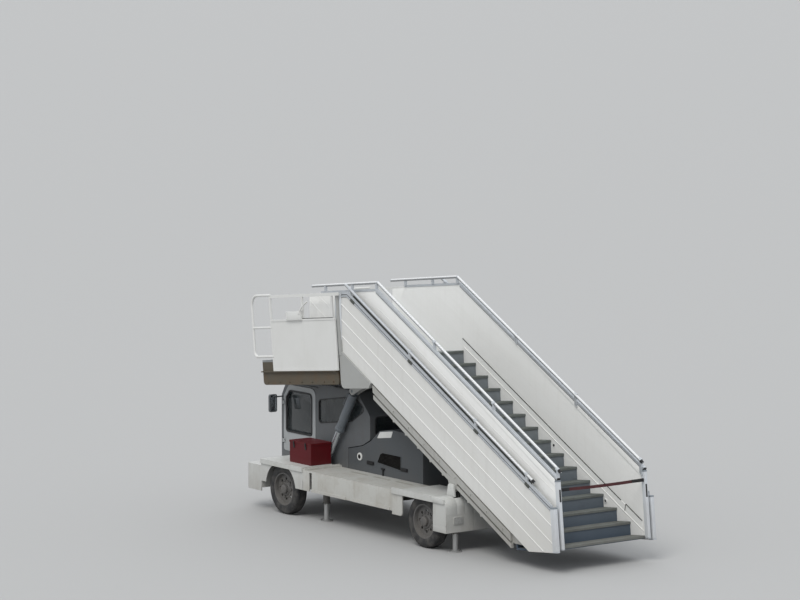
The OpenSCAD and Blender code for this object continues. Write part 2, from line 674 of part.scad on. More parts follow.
module cab_shell() {
    door_hole = rounded([[door_rear, door_sill], [cab_front - 60, door_sill], [cab_front - 60, 1700],
        [cab_front - 210, 1890], [door_rear, 1890]], [40, 60, 60, 60, 120]);
    color([0.62, 0.65, 0.68]) car() {
        both() {
            for (z = hinge_zs) {
                for (dz = [-15, 60.3]) {
                    pinz(door_hinge_x, hinge_y, z + dz, 10, 14.7);
                    box(door_hinge_x, door_hinge_x + 40, cab_half - 2, cab_half + 4, z + dz, z + dz + 14.7);
                    box(door_hinge_x - 4, door_hinge_x + 10, cab_half - 2, hinge_y, z + dz, z + dz + 14.7);
                }
                pinz(door_hinge_x, hinge_y, z - 10, 5, 80);
            }
            // mirror and its arm
            box(cab_front - 38, cab_front - 18, cab_half - 5, 640, 1670, 1690);
            cross(rounded([[560, 1440], [700, 1440], [700, 1720], [560, 1720]], 30), cab_front - 20, 36);
        }
        difference() {
            slab(rounded([[5610, rail_top], [5610, 1080], [5240, 1160], [cab_rear, 1262],
                [cab_rear, 1620], [5380, cab_top], [cab_front - 160, cab_top],
                [cab_front, 1700], [cab_front, rail_top + 30], [front_arch[1] - 15, rail_top + 30],
                [front_arch[1] - 15, rail_top]], [0, 0, 40, 30, 90, 120, 90, 120, 0, 0, 0]),
                -cab_half, 2 * cab_half);
            slab(rounded([[5645, rail_top + 40], [5645, 1115], [5255, 1195], [cab_rear + 35, 1290],
                [cab_rear + 35, 1605], [5392, cab_top - 35], [cab_front - 180, cab_top - 35],
                [cab_front - 35, 1692], [cab_front - 35, rail_top + 40]],
                [0, 0, 40, 20, 60, 90, 60, 90, 0]), cab_wall - cab_half, 2 * (cab_half - cab_wall));
            slab(side_window, -cab_half - 1, 2 * cab_half + 2);
            slab(door_hole, -cab_half - 1, 2 * cab_half + 2);
            cross(rounded([[-380, 1050], [380, 1050], [380, 1640], [-380, 1640]], 60),
                cab_front - 110, 200);
            cross(rounded([[-360, 1330], [360, 1330], [360, 1600], [-360, 1600]], 50), cab_rear - 40, 100);
        }
    }
}

module cab_glass() {
    color([0.6, 0.7, 0.75, 0.4]) car() {
        both() slab(side_window, cab_half - 20, 6);
        cross(rounded([[-380, 1050], [380, 1050], [380, 1640], [-380, 1640]], 60), cab_front - 22, 6);
        cross(rounded([[-360, 1330], [360, 1330], [360, 1600], [-360, 1600]], 50), cab_rear + 14, 6);
    }
}

module cab_seat() {
    color([0.15, 0.15, 0.17]) car() {
        slab(rounded(rect(5950, 6350, 1050, 1160), 30), -230, 460);
        slab(rounded([[5900, 1100], [6020, 1100], [5900, 1680], [5800, 1680]], 35), -220, 440);
        box(6000, 6300, -150, 150, rail_top + 40, 1060);
    }
}

module cab_console() {
    console_half = cab_half - cab_wall - 6;
    color([0.18, 0.19, 0.21]) car() {
        slab(rounded([[7050, 850], [cab_front - 35, 850], [cab_front - 35, 1040], [7110, 1060],
            [7050, 1010]], [20, 0, 0, 30, 30]), -console_half, 2 * console_half);
        translate([6960, 0, 1130]) rotate([0, -60, 0]) {
            rotate_extrude() translate([180, 12]) circle(r = 13, $fn = 24);
            translate([-180, -18, 5]) cube([360, 36, 15]);
            translate([0, 0, -180]) cylinder(h = 190, r = 22);
        }
        box(7020, 7120, -40, 40, 980, 1060);
    }
}

module cab_door(s) {
    color([0.80, 0.81, 0.82]) car() side(s) difference() {
        union() {
            slab(rounded([[door_rear + 6, door_sill + 6], [cab_front - 66, door_sill + 6],
                [cab_front - 66, 1697], [cab_front - 213, 1884], [door_rear + 6, 1884]],
                [36, 56, 56, 56, 116]), cab_half - 34, 40);
            for (z = hinge_zs) {
                pinz(door_hinge_x, hinge_y, z, 10, 60);
                box(door_hinge_x - 55, door_hinge_x, cab_half + 6, hinge_y + 4, z, z + 60);
            }
        }
        slab(rounded([[door_rear + 105, 1150], [cab_front - 150, 1150], [cab_front - 150, 1680],
            [cab_front - 240, 1790], [door_rear + 105, 1790]], [40, 40, 40, 50, 70]),
            cab_half - 40, 60);
        for (z = hinge_zs) pinz(door_hinge_x, hinge_y, z - 1, 5 + fit, 62);
    }
}
module cab_door_left() { cab_door(1); }
module cab_door_right() { cab_door(-1); }

module locker() {
    color([0.42, 0.10, 0.13]) car() {
        slab(rect(front_arch[0] + 18, front_arch[0] + 588, arch_z + plate, 1120), 605, 375);
        slab(rect(front_arch[0] + 12, front_arch[0] + 594, 1120, 1150), 599, 387);
    }
}

module lamps() {
    color([0.75, 0.20, 0.15]) car() both() {
        box(rear_x - 12, rear_x, 850, 1010, 420, 520);
        pinx(front_x - 60, 830, 560, 79, 66);
    }
}

module housing(x) {
    car() both() translate([x, leg_y, 0]) difference() {
        union() {
            translate([0, 0, 270]) cylinder(h = 335, r = leg_r + 12);
            translate([0, 0, 270]) cylinder(h = 20, r = leg_r + 20);
            translate([-leg_r, 440 - leg_y, 505]) cube([2 * leg_r, leg_y - 440, 95]);
        }
        translate([0, 0, 260]) cylinder(h = 332, r = leg_r);
    }
}

module stabiliser_housings() {
    color([0.30, 0.31, 0.33]) for (x = leg_xs) housing(x);
}

module leg(x, s) {
    color([0.60, 0.60, 0.60]) car() side(s) translate([x, leg_y, 0]) {
        cylinder(h = 14, r = 95);
        translate([0, 0, 13]) cylinder(h = 22, r = 60);
        cylinder(h = 380, r = leg_r - fit);
    }
}
module leg_rear_left() { leg(leg_xs[0], 1); }
module leg_rear_right() { leg(leg_xs[0], -1); }
module leg_front_left() { leg(leg_xs[1], 1); }
module leg_front_right() { leg(leg_xs[1], -1); }

// leaf spring pack: four leaves, each shorter than the one above
module spring(x, top) {
    for (i = [0 : 3]) box(x - 450 + 100 * i, x + 450 - 100 * i, 370, 430, top - 14 * (i + 1),
        top - 14 * i + 0.01);
}

module rear_axle() {
    low = rail_top - 180;
    color([0.22, 0.22, 0.24]) car() {
        pin(rear_axle_x, tyre_r, 60, 120 - wheel_y, 2 * wheel_y - 240);
        pin(rear_axle_x, tyre_r, spindle_r, -wheel_y - 20, 2 * wheel_y + 40);
        both() {
            box(rear_axle_x - 45, rear_axle_x + 45, 370, 430, tyre_r, low - 50);
            spring(rear_axle_x, low - 0.3);
        }
        translate([rear_axle_x, 0, tyre_r]) sphere(150);
    }
}

module front_axle() {
    low = rail_top - 180;
    x0 = front_axle_x - 45;
    x1 = front_axle_x + 45;
    color([0.22, 0.22, 0.24]) car() {
        box(x0, x1, 60 - kingpin_y, kingpin_y - 60, tyre_r - 45, tyre_r + 45);
        both() {
            for (z = [tyre_r - 80, tyre_r + 50]) {
                pinz(front_axle_x, kingpin_y, z, 45, 30);
                box(x0, x1, kingpin_y - 60, kingpin_y, z, z + 30);
            }
            box(x0, x1, kingpin_y - 100, kingpin_y - 50, tyre_r - 80, tyre_r + 80);
            pinz(front_axle_x, kingpin_y, tyre_r - 80, 18, 160);
            box(x0, x1, 370, 430, tyre_r, low - 50);
            spring(front_axle_x, low - 0.3);
        }
    }
}

module knuckle(s) {
    color([0.24, 0.24, 0.26]) car() side(s) difference() {
        union() {
            pinz(front_axle_x, kingpin_y, tyre_r - 49.7, 40, 99.4);
            pin(front_axle_x, tyre_r, spindle_r, kingpin_y, wheel_y + 20 - kingpin_y);
        }
        pinz(front_axle_x, kingpin_y, tyre_r - 60, 18 + fit, 120);
    }
}
module knuckle_left() { knuckle(1); }
module knuckle_right() { knuckle(-1); }

module tyre(x, s) {
    w = tyre_w / 2;
    color([0.10, 0.10, 0.11]) car() side(s) translate([x, wheel_y, tyre_r]) rotate([-90, 0, 0])
        rotate_extrude($fn = 64) polygon([[rim_r, -w + 15], [rim_r + 25, -w + 5],
            [tyre_r - 60, -w], [tyre_r - 12, -w + 20], [tyre_r, -w + 40], [tyre_r, w - 40],
            [tyre_r - 12, w - 20], [tyre_r - 60, w], [rim_r + 25, w - 5], [rim_r, w - 15]]);
}
module tyre_rear_left() { tyre(rear_axle_x, 1); }
module tyre_rear_right() { tyre(rear_axle_x, -1); }
module tyre_front_left() { tyre(front_axle_x, 1); }
module tyre_front_right() { tyre(front_axle_x, -1); }

module rim(x, s) {
    w = tyre_w / 2;
    color([0.62, 0.63, 0.64]) car() side(s) translate([x, wheel_y, tyre_r]) rotate([-90, 0, 0])
        difference() {
            rotate_extrude($fn = 64) polygon([[spindle_r + fit, -40], [90, -40], [100, 20],
                [200, 20], [rim_r - 20, -w + 12], [rim_r, -w + 12], [rim_r, w - 12],
                [rim_r - 20, w - 12], [rim_r - 35, 40], [110, 40], [95, 60], [spindle_r + fit, 60]]);
            for (i = [0 : 7]) rotate([0, 0, 45 * i]) translate([155, 0, 0]) cylinder(h = 60, r = 24);
        }
}
module rim_rear_left() { rim(rear_axle_x, 1); }
module rim_rear_right() { rim(rear_axle_x, -1); }
module rim_front_left() { rim(front_axle_x, 1); }
module rim_front_right() { rim(front_axle_x, -1); }

chassis_frame();
decks();
rear_box();
front_body();
engine_cover();
engine_block();
cab_shell();
cab_glass();
cab_seat();
cab_console();
locker();
lamps();
stabiliser_housings();
rear_axle();
front_axle();
cab_door_left();
cab_door_right();
leg_rear_left();
leg_rear_right();
leg_front_left();
leg_front_right();
knuckle_left();
knuckle_right();
tyre_rear_left();
tyre_rear_right();
tyre_front_left();
tyre_front_right();
rim_rear_left();
rim_rear_right();
rim_front_left();
rim_front_right();
lift_barrel_left();
lift_barrel_right();
lift_rod_left();
lift_rod_right();
lower_panels();
lower_steps();
lower_stringers();
lower_head();
lower_handrails();
upper_panels();
upper_steps();
upper_handrails();
platform_floor();
platform_frame();
entry_strap();
guard_left();
guard_right();
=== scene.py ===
import math

import bmesh
import bpy
import numpy as np
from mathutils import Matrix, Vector


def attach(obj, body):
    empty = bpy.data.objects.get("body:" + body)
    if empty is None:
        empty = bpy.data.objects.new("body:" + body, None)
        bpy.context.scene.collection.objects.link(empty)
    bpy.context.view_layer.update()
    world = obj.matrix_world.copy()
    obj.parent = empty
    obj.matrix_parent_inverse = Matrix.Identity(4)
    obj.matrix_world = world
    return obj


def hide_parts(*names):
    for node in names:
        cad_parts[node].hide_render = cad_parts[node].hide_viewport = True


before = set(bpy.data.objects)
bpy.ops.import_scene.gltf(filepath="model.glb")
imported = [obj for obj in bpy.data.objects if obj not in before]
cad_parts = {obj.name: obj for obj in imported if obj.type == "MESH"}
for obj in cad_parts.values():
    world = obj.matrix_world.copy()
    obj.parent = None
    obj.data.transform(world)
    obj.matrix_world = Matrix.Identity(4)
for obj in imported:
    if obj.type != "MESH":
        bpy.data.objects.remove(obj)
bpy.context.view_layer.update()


# Camera: the photograph is taken from far behind and to the left of the stairs, with a long lens.
# Its place was fitted to the step noses and the edges of the chassis.
cam_place = (-38.692, 29.320, 8.596)
cam_look = Vector((0.80092, -0.58951, -0.10493))
cam_data = bpy.data.cameras.new("camera")
cam_data.lens = 148.1
cam_data.sensor_width = 36.0
cam_data.clip_end = 4000.0
camera = bpy.data.objects.new("camera", cam_data)
camera.location = cam_place
camera.rotation_mode = "QUATERNION"
camera.rotation_quaternion = cam_look.to_track_quat("-Z", "Y")
bpy.context.scene.collection.objects.link(camera)
bpy.context.scene.camera = camera
bpy.context.scene.view_settings.view_transform = "Standard"


# Floor and light: a plain pale studio floor that keeps the shadow of the stairs, a pale world behind
# it, a broad soft key light from above on the near side and a weaker one from the far side.
def node_tree(owner):
    """Clears the node tree of a material or world and returns its nodes and a link function."""
    owner.use_nodes = True
    tree = owner.node_tree
    tree.nodes.clear()
    return tree.nodes, tree.links.new


floor_half = 1500.0
floor_mesh = bpy.data.meshes.new("floor")
floor_mesh.from_pydata(
    [(-floor_half, -floor_half, 0), (floor_half, -floor_half, 0), (floor_half, floor_half, 0),
     (-floor_half, floor_half, 0)], [], [(0, 1, 2, 3)])
floor = bpy.data.objects.new("floor", floor_mesh)
bpy.context.scene.collection.objects.link(floor)
floor_mat = bpy.data.materials.new("floor_pale")
nodes, link = node_tree(floor_mat)
floor_shader = nodes.new("ShaderNodeBsdfPrincipled")
floor_shader.inputs["Base Color"].default_value = (0.40, 0.40, 0.395, 1)
floor_shader.inputs["Roughness"].default_value = 0.9
floor_out = nodes.new("ShaderNodeOutputMaterial")
link(floor_shader.outputs[0], floor_out.inputs[0])
floor_mesh.materials.append(floor_mat)

world = bpy.data.worlds.new("studio")
bpy.context.scene.world = world
nodes, link = node_tree(world)
sky_seen = nodes.new("ShaderNodeBackground")
sky_seen.inputs[0].default_value = (0.55, 0.56, 0.57, 1)
sky_light = nodes.new("ShaderNodeBackground")
sky_light.inputs[0].default_value = (0.93, 0.96, 1.0, 1)
sky_light.inputs[1].default_value = 0.85
path = nodes.new("ShaderNodeLightPath")
choose = nodes.new("ShaderNodeMixShader")
world_out = nodes.new("ShaderNodeOutputWorld")
link(path.outputs["Is Camera Ray"], choose.inputs[0])
link(sky_light.outputs[0], choose.inputs[1])
link(sky_seen.outputs[0], choose.inputs[2])
link(choose.outputs[0], world_out.inputs[0])

for name, towards, strength, spread, colour in (
        ("light_key", (-0.34, 0.52, 0.80), 1.50, 30, (1.0, 0.985, 0.96)),
        ("light_fill", (0.50, -0.45, 0.70), 0.40, 60, (0.95, 0.97, 1.0))):
    lamp_data = bpy.data.lights.new(name, "SUN")
    lamp_data.energy = strength
    lamp_data.angle = math.radians(spread)
    lamp_data.color = colour
    lamp = bpy.data.objects.new(name, lamp_data)
    lamp.rotation_mode = "QUATERNION"
    lamp.rotation_quaternion = Vector(towards).to_track_quat("Z", "Y")
    bpy.context.scene.collection.objects.link(lamp)


# Chassis frame: two channel rails and cross members of folded steel, brushed with black chassis
# paint. Hexagon bolts with washers hold the cross members to the rails.
class Surface:
    """A new material: its nodes, its shader joined to the output, and its object coordinates."""

    def __init__(self, name):
        self.mat = bpy.data.materials.new(name)
        self.nodes, self.link = node_tree(self.mat)
        self.place = self.nodes.new("ShaderNodeTexCoord").outputs["Object"]
        self.shader = self.nodes.new("ShaderNodeBsdfPrincipled")
        self.link(self.shader.outputs[0], self.nodes.new("ShaderNodeOutputMaterial").inputs[0])

    def feed(self, key, value):
        """Gives a number to one of the shader's inputs, or links a socket to it."""
        if isinstance(value, (int, float)):
            self.shader.inputs[key].default_value = value
        else:
            self.link(value, self.shader.inputs[key])

    def clouds(self, scale, detail=4.0, rough=0.5, stretch=(1, 1, 1), place=None):
        """Layered noise at a scale, its coordinates stretched first by one factor for each axis."""
        mapping = self.nodes.new("ShaderNodeMapping")
        mapping.inputs["Scale"].default_value = stretch
        noise = self.nodes.new("ShaderNodeTexNoise")
        for key, number in (("Scale", scale), ("Detail", detail), ("Roughness", rough)):
            noise.inputs[key].default_value = number
        self.link(self.place if place is None else place, mapping.inputs["Vector"])
        self.link(mapping.outputs[0], noise.inputs["Vector"])
        return noise.outputs["Fac"]

    def levels(self, value, low, high, to_low=0.0, to_high=1.0):
        """The value's range from low to high, stretched to the range from to_low to to_high."""
        ramp = self.nodes.new("ShaderNodeMapRange")
        for key, number in (("From Min", low), ("From Max", high), ("To Min", to_low), ("To Max", to_high)):
            ramp.inputs[key].default_value = number
        self.link(value, ramp.inputs["Value"])
        return ramp.outputs[0]

    def blended(self, factor, first, second):
        """A mix of two colours by a factor; each colour is three numbers or a socket."""
        mix = self.nodes.new("ShaderNodeMix")
        mix.data_type = "RGBA"
        self.link(factor, mix.inputs["Factor"])
        for key, colour in (("A", first), ("B", second)):
            if isinstance(colour, tuple):
                mix.inputs[key].default_value = (*colour, 1)
            else:
                self.link(colour, mix.inputs[key])
        return mix.outputs["Result"]

    def height(self, vector):
        """The upright component of a vector."""
        parts = self.nodes.new("ShaderNodeSeparateXYZ")
        self.link(vector, parts.inputs[0])
        return parts.outputs["Z"]

    def bumped(self, height, strength, distance, normal=None):
        """Lets a height push the shader's normal, on top of another normal if one is given."""
        bump = self.nodes.new("ShaderNodeBump")
        bump.inputs["Strength"].default_value = strength
        bump.inputs["Distance"].default_value = distance
        self.link(height, bump.inputs["Height"])
        if normal is not None:
            self.link(normal, bump.inputs["Normal"])
        self.link(bump.outputs[0], self.shader.inputs["Normal"])


def painted_sheet(name, colour, grime=(0.30, 0.27, 0.23), amount=0.25, rough=0.42, grain=1.0, edge=0.003,
                  worn=(0.36, 0.35, 0.33), gloss=0.5, dust=(0.22, 0.20, 0.175), dust_and_shade_top=0.9,
                  dust_and_shade_amount=0.30):
    """Paint over steel: the colour is mixed towards grime by broad noise, fine specks and runs that
    hang down, towards a tone near the ground, and towards a worn tone where the rounded edge turns.
    The tone near the ground is dust on most sheets and painted shade on the steps, whose tone is dark."""
    s = Surface(name)
    s.feed("Specular IOR Level", gloss)
    broad = s.clouds(1.4 * grain, 8, 0.62)
    specks = s.clouds(38 * grain, 4)
    runs = s.clouds(7 * grain, 5, 0.6, (1, 1, 0.12))
    tone = s.blended(s.levels(broad, 0.45, 0.80, 0, amount), colour, grime)
    tone = s.blended(s.levels(runs, 0.52, 0.85, 0, amount * 0.9), tone, grime)
    tone = s.blended(s.levels(specks, 0.60, 0.80, 0, amount * 0.8), tone, grime)
    # Towards the ground: grey-brown dust on most sheets, a dark painted shade on the steps.
    low = s.levels(s.height(s.place), dust_and_shade_top, 0.25, 0, dust_and_shade_amount)
    tone = s.blended(low, tone, dust)
    rounded_edge = s.nodes.new("ShaderNodeBevel")
    rounded_edge.samples = 4
    rounded_edge.inputs["Radius"].default_value = edge
    geometry = s.nodes.new("ShaderNodeNewGeometry")
    turn = s.nodes.new("ShaderNodeVectorMath")
    turn.operation = "DOT_PRODUCT"
    s.link(rounded_edge.outputs[0], turn.inputs[0])
    s.link(geometry.outputs["True Normal"], turn.inputs[1])
    edges = s.levels(turn.outputs["Value"], 0.97, 0.80, 0, 0.35)
    tone = s.blended(edges, tone, worn)
    s.feed("Base Color", tone)
    s.feed("Roughness", s.levels(broad, 0.3, 0.8, rough, min(rough + 0.22, 1)))
    s.bumped(specks, 0.05, 0.002, rounded_edge.outputs[0])
    return s.mat


def dress(material, *names):
    """Puts one material into every slot of the named CAD nodes."""
    for name in names:
        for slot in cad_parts[name].material_slots:
            slot.material = material


def net(rows, cols, close=False):
    """The four-sided faces of a grid whose rows are rings; with close its last row meets its first."""
    i = np.arange(rows if close else rows - 1)[:, None]
    j = np.arange(cols)[None]
    after, beside = (i + 1) % rows * cols, (j + 1) % cols
    return np.stack([i * cols + j, i * cols + beside, after + beside, after + j], -1).reshape(-1, 4)


def turned(outline, centre, axis=1, n=32, close=False):
    """A solid of revolution: an outline of (distance along the axis, radius) turned round an axis of
    the frame through a centre. Open outlines are capped at both ends."""
    along, radius = np.asarray(outline, float).T
    angle = np.arange(n) * 2 * math.pi / n
    points = np.empty((len(along), n, 3))
    points[..., axis] = along[:, None]
    points[..., (axis + 1) % 3] = radius[:, None] * np.cos(angle)
    points[..., (axis + 2) % 3] = radius[:, None] * np.sin(angle)
    faces = [net(len(along), n, close)]
    if not close:
        faces += [np.arange(n)[None, ::-1], np.arange(n)[None] + (len(along) - 1) * n]
    return points.reshape(-1, 3) + centre, faces


def repeated(shell, offsets):
    """The same shell moved by each offset, as one shell."""
    points, faces = shell
    offsets = np.asarray(offsets, float).reshape(-1, 3)
    shifts = np.arange(len(offsets)) * len(points)
    all_points = (points[None] + offsets[:, None]).reshape(-1, 3)
    return all_points, [(f[None] + shifts[:, None, None]).reshape(-1, f.shape[1]) for f in faces]


hands = (("left", 1), ("right", -1))


def handed(shells, s):
    """The shells as they are for s = 1, or mirrored across the middle of the vehicle for s = -1."""
    return [(points * (1, s, 1), faces) for points, faces in shells]


def both_sides(shells):
    """The shells and their mirror images across the middle of the vehicle."""
    return shells + handed(shells, -1)


row_shift = np.array([3.759427, 0, 0])


def on_car(shells):
    """Moves shells from the rear corner's zero to the shared frame, whose zero is half way along."""
    return [(points - row_shift, faces) for points, faces in shells]


def made(name, shells, body, material, smooth=38):
    """One object from closed shells. Its faces are turned outwards, corners flatter than the smooth
    angle are shaded soft, and it rides on a body."""
    starts = np.cumsum([0] + [len(points) for points, faces in shells[:-1]])
    faces = [row for start, shell in zip(starts, shells) for f in shell[1] for row in (f + start).tolist()]
    mesh = bpy.data.meshes.new(name)
    mesh.from_pydata(np.concatenate([points for points, f in shells]), [], faces)
    work = bmesh.new()
    work.from_mesh(mesh)
    bmesh.ops.recalc_face_normals(work, faces=work.faces)
    work.to_mesh(mesh)
    work.free()
    mesh.shade_smooth()
    mesh.set_sharp_from_angle(angle=math.radians(smooth))
    mesh.materials.append(material)
    piece = bpy.data.objects.new(name, mesh)
    bpy.context.scene.collection.objects.link(piece)
    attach(piece, body)
    return piece


def car_piece(name, shells, material, smooth=38):
    """One object on the chassis, from shells given from the rear corner."""
    return made(name, on_car(shells), "chassis", material, smooth)


def car_pair(name, shells, material, smooth=38):
    """One object on the chassis, from shells of the left side and their mirror images."""
    return car_piece(name, both_sides(shells), material, smooth)


def bolt(axis, outward, across=0.019):
    """A hexagon head on a washer, turned round an axis and standing outwards from its seat."""
    r = across / 2 / math.cos(math.pi / 6)
    heights = np.array([0, 0.0025, 0.0025, 0.0125, 0.0145]) * outward
    return turned(np.stack([heights, [r * 1.5, r * 1.45, r, r, r * 0.82]], 1), (0, 0, 0), axis, 6)


frame_black = painted_sheet("frame_black", (0.018, 0.019, 0.021), (0.10, 0.088, 0.072), 0.4, 0.5, gloss=0.3)
dress(frame_black, "chassis_frame")
rail_bolts = [(x + dx, 0.44, z) for x in (2.325, 3.54, 4.74, 5.84, 7.24)
              for dx in (-0.028, 0.028) for z in (0.55, 0.63)]
car_pair("frame_bolts", [repeated(bolt(1, 1), rail_bolts)], frame_black)


# Axles: cast and forged steel in the same black, on packs of four leaf springs. Two U-bolts clamp
# each pack to its axle, with nuts on a plate below.
def circle(r, n=12):
    """A round outline of a radius."""
    angle = np.arange(n) * 2 * math.pi / n
    return np.stack([r * np.cos(angle), r * np.sin(angle)], 1)


def carried(outline, path, side=(0, 1, 0), size=None, close=False):
    """A closed outline of (u, v) carried along a path. At each point the run is the mean of the
    directions before and after it, u lies along side squared to the run, v is square to both and
    widened at a bend by one over the cosine of half the turn. Open ends are capped."""
    path = np.asarray(path, float)
    outline = np.asarray(outline, float)
    ahead = np.roll(path, -1, 0) - path
    if not close:
        ahead[-1] = ahead[-2]
    ahead /= np.linalg.norm(ahead, axis=1, keepdims=True)
    before = np.roll(ahead, 1, 0)
    if not close:
        before[0] = ahead[0]
    run = ahead + before
    run /= np.linalg.norm(run, axis=1, keepdims=True)
    u = np.asarray(side, float) - run * (run @ np.asarray(side, float))[:, None]
    u /= np.linalg.norm(u, axis=1, keepdims=True)
    v = np.cross(run, u) / (run * ahead).sum(1)[:, None]
    size = np.ones(len(path)) if size is None else np.asarray(size, float)
    across = outline[None, :, :1] * u[:, None] + outline[None, :, 1:] * v[:, None]
    points = path[:, None] + across * size[:, None, None]
    n = len(outline)
    faces = [net(len(path), n, close)]
    if not close:
        faces += [np.arange(n)[None, ::-1], np.arange(n)[None] + (len(path) - 1) * n]
    return points.reshape(-1, 3), faces


def rect(u0, u1, v0, v1):
    """A rectangle's corners, counter-clockwise."""
    return np.array([(u0, v0), (u1, v0), (u1, v1), (u0, v1)])


axle_black = painted_sheet("axle_black", (0.03, 0.031, 0.033), (0.16, 0.14, 0.11), 0.5, 0.55, 2.0)
dress(axle_black, "rear_axle", "front_axle", "knuckle_left", "knuckle_right")
rear_axle_x, front_axle_x, wheel_y, tyre_r = 2.84, 6.44, 1.0, 0.39
axle_xs = (("rear", rear_axle_x), ("front", front_axle_x))
spring_y, u_half, u_foot, u_top, plate_z = 0.400, 0.038, 0.300, 0.452, 0.325
u_line = [(-u_half, u_foot), (-u_half, u_top - 0.012), (0.008 - u_half, u_top)]
u_line += [(-y, z) for y, z in u_line[::-1]]
u_bolts = []
for end, x in axle_xs:
    for bolt_x in (x - 0.055, x + 0.055):
        u_bolts.append(carried(circle(0.007), [(bolt_x, spring_y + y, z) for y, z in u_line],
                               side=(1, 0, 0)))
        u_bolts.append(repeated(bolt(2, -1),
                                [(bolt_x, spring_y + y, plate_z - 0.007) for y in (-u_half, u_half)]))
    u_bolts.append(carried(rect(-0.08, 0.08, -0.005, 0.005),
                           [(x, spring_y + y, plate_z) for y in (-0.048, 0.048)], side=(1, 0, 0)))
car_pair("spring_u_bolts", u_bolts, axle_black)


# Tyres: road tyres of black rubber with four grooves round the tread, cut shoulder blocks, a rim
# strip and fine rings on the walls. Each is one closed ring that stands for its CAD tyre.
def rubber(name, colour, rough=0.75, grain=60, dust=0.25, gloss=0.5):
    """Rubber or moulded black plastic: a dull colour with grey dust in soft patches and a fine bump."""
    s = Surface(name)
    s.feed("Specular IOR Level", gloss)
    patches = s.clouds(9, 6, 0.6)
    fine = s.clouds(grain * 6, 3)
    tone = s.blended(s.levels(patches, 0.42, 0.78, 0, dust), colour, (0.16, 0.15, 0.135))
    s.feed("Base Color", tone)
    s.feed("Roughness", s.levels(patches, 0.3, 0.7, rough - 0.08, min(rough + 0.1, 1)))
    s.bumped(fine, 0.12, 0.001)
    return s.mat


tyre_rubber = rubber("tyre_rubber", (0.018, 0.018, 0.019), dust=0.55)
tread_half, tyre_turns, across_n = 0.0625, 180, 44


def tyre(centre):
    """A ring on a grid of angle by distance round the section. The section is the CAD tyre's outline
    with a fuller wall; the tread's radius drops in four grooves and in cuts across the shoulders."""
    section = np.array([(-0.0875, 0.256), (-0.0985, 0.272), (-0.1010, 0.290), (-0.1005, 0.294),
                        (-0.1022, 0.312), (-0.1018, 0.330), (-0.0955, 0.352), (-0.0860, 0.372),
                        (-0.0740, 0.3845)])
    flat = np.linspace(-tread_half, tread_half, across_n - 2 * len(section) - 8)
    tread = np.stack([flat, 0.3893 - 0.9 * np.abs(flat) ** 2.2], 1)
    bead = np.stack([np.linspace(0.08, -0.08, 8), np.full(8, 0.2565)], 1)
    outline = np.concatenate([section, tread, section[::-1] * (-1, 1), bead])
    y, r = outline.T
    angle = np.arange(tyre_turns)[:, None] * 2 * math.pi / tyre_turns
    grooves = np.zeros_like(y)
    for at in (-0.040, -0.014, 0.014, 0.040):
        grooves = np.maximum(grooves, np.exp(-((y - at) / 0.0042) ** 4))
    on_tread = (r > 0.375).astype(float)
    skew = angle * 45 + np.sign(y) * 1.2
    cuts = (np.sin(skew * 2) > 0.55) * np.clip((np.abs(y) - 0.045) / 0.008, 0, 1)
    depth = on_tread * (0.009 * grooves + 0.006 * cuts * (1 - grooves))
    ring = r - depth
    points = np.stack([ring * np.cos(angle), np.broadcast_to(y, ring.shape), ring * np.sin(angle)], -1)
    return points.reshape(-1, 3) + centre, [net(tyre_turns, len(y), True)]


for end, x in axle_xs:
    for hand, s in hands:
        piece = made(f"road_tyre_{end}_{hand}", on_car([tyre((x, s * wheel_y, tyre_r))]),
                     f"wheel_{end}_{hand}", tyre_rubber, 30)
        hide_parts(f"tyre_{end}_{hand}")


# Rims: pressed steel discs in grey paint with round holes, ten wheel nuts, a hub cap and a valve.
# Its grey is set darker than the paint's own, partly as painted shade for the wheel's place in shadow.
rim_grey = painted_sheet("rim_grey", (0.075, 0.076, 0.078), (0.05, 0.043, 0.034), 0.6, 0.5, 3.0, 0.002,
                         (0.15, 0.145, 0.135), 0.3)
hub_black = painted_sheet("hub_black", (0.05, 0.05, 0.052), (0.16, 0.14, 0.11), 0.4, 0.4, 3.0)
nut_turn = np.arange(10) * 2 * math.pi / 10
nut_places = np.stack([0.128 * np.cos(nut_turn), np.full(10, 0.0405), 0.128 * np.sin(nut_turn)], 1)
for end, x in axle_xs:
    for hand, s in hands:
        dress(rim_grey, f"rim_{end}_{hand}")
        hub = turned([(0.060, 0.070), (0.066, 0.074), (0.092, 0.070), (0.102, 0.058), (0.104, 0.030),
                      (0.1045, 0.004)], (0, 0, 0), 1, 28)
        valve = carried(circle(0.004, 8), [(0.205, 0.045, 0), (0.206, 0.062, 0), (0.201, 0.078, 0)],
                        side=(0, 0, 1))
        fittings = [repeated(bolt(1, 1, 0.027), nut_places), hub, valve]
        fittings = [(points * (1, s, 1) + (x, s * wheel_y, tyre_r), faces) for points, faces in fittings]
        made(f"wheel_nuts_{end}_{hand}", on_car(fittings), f"wheel_{end}_{hand}", hub_black)


# Rear box and fenders: folded steel sheet in an off-white gloss paint that has gone dull, dirty
# below and rubbed on the wheel arches. Screws hold the panels on both sides of each seam.
body_white = painted_sheet("body_white", (0.52, 0.525, 0.505), (0.21, 0.18, 0.135), 0.34, 0.38, 1.3, 0.004,
                           (0.62, 0.62, 0.60))
dress(body_white, "rear_box", "front_body")


def screw(axis, outward, r=0.006):
    """A low domed screw head with a small recess, turned round an axis."""
    outline = np.array([(0, r), (0.0012, r), (0.0026, r * 0.75), (0.0030, r * 0.42), (0.0014, r * 0.30)])
    return turned(outline * (outward, 1), (0, 0, 0), axis, 10)


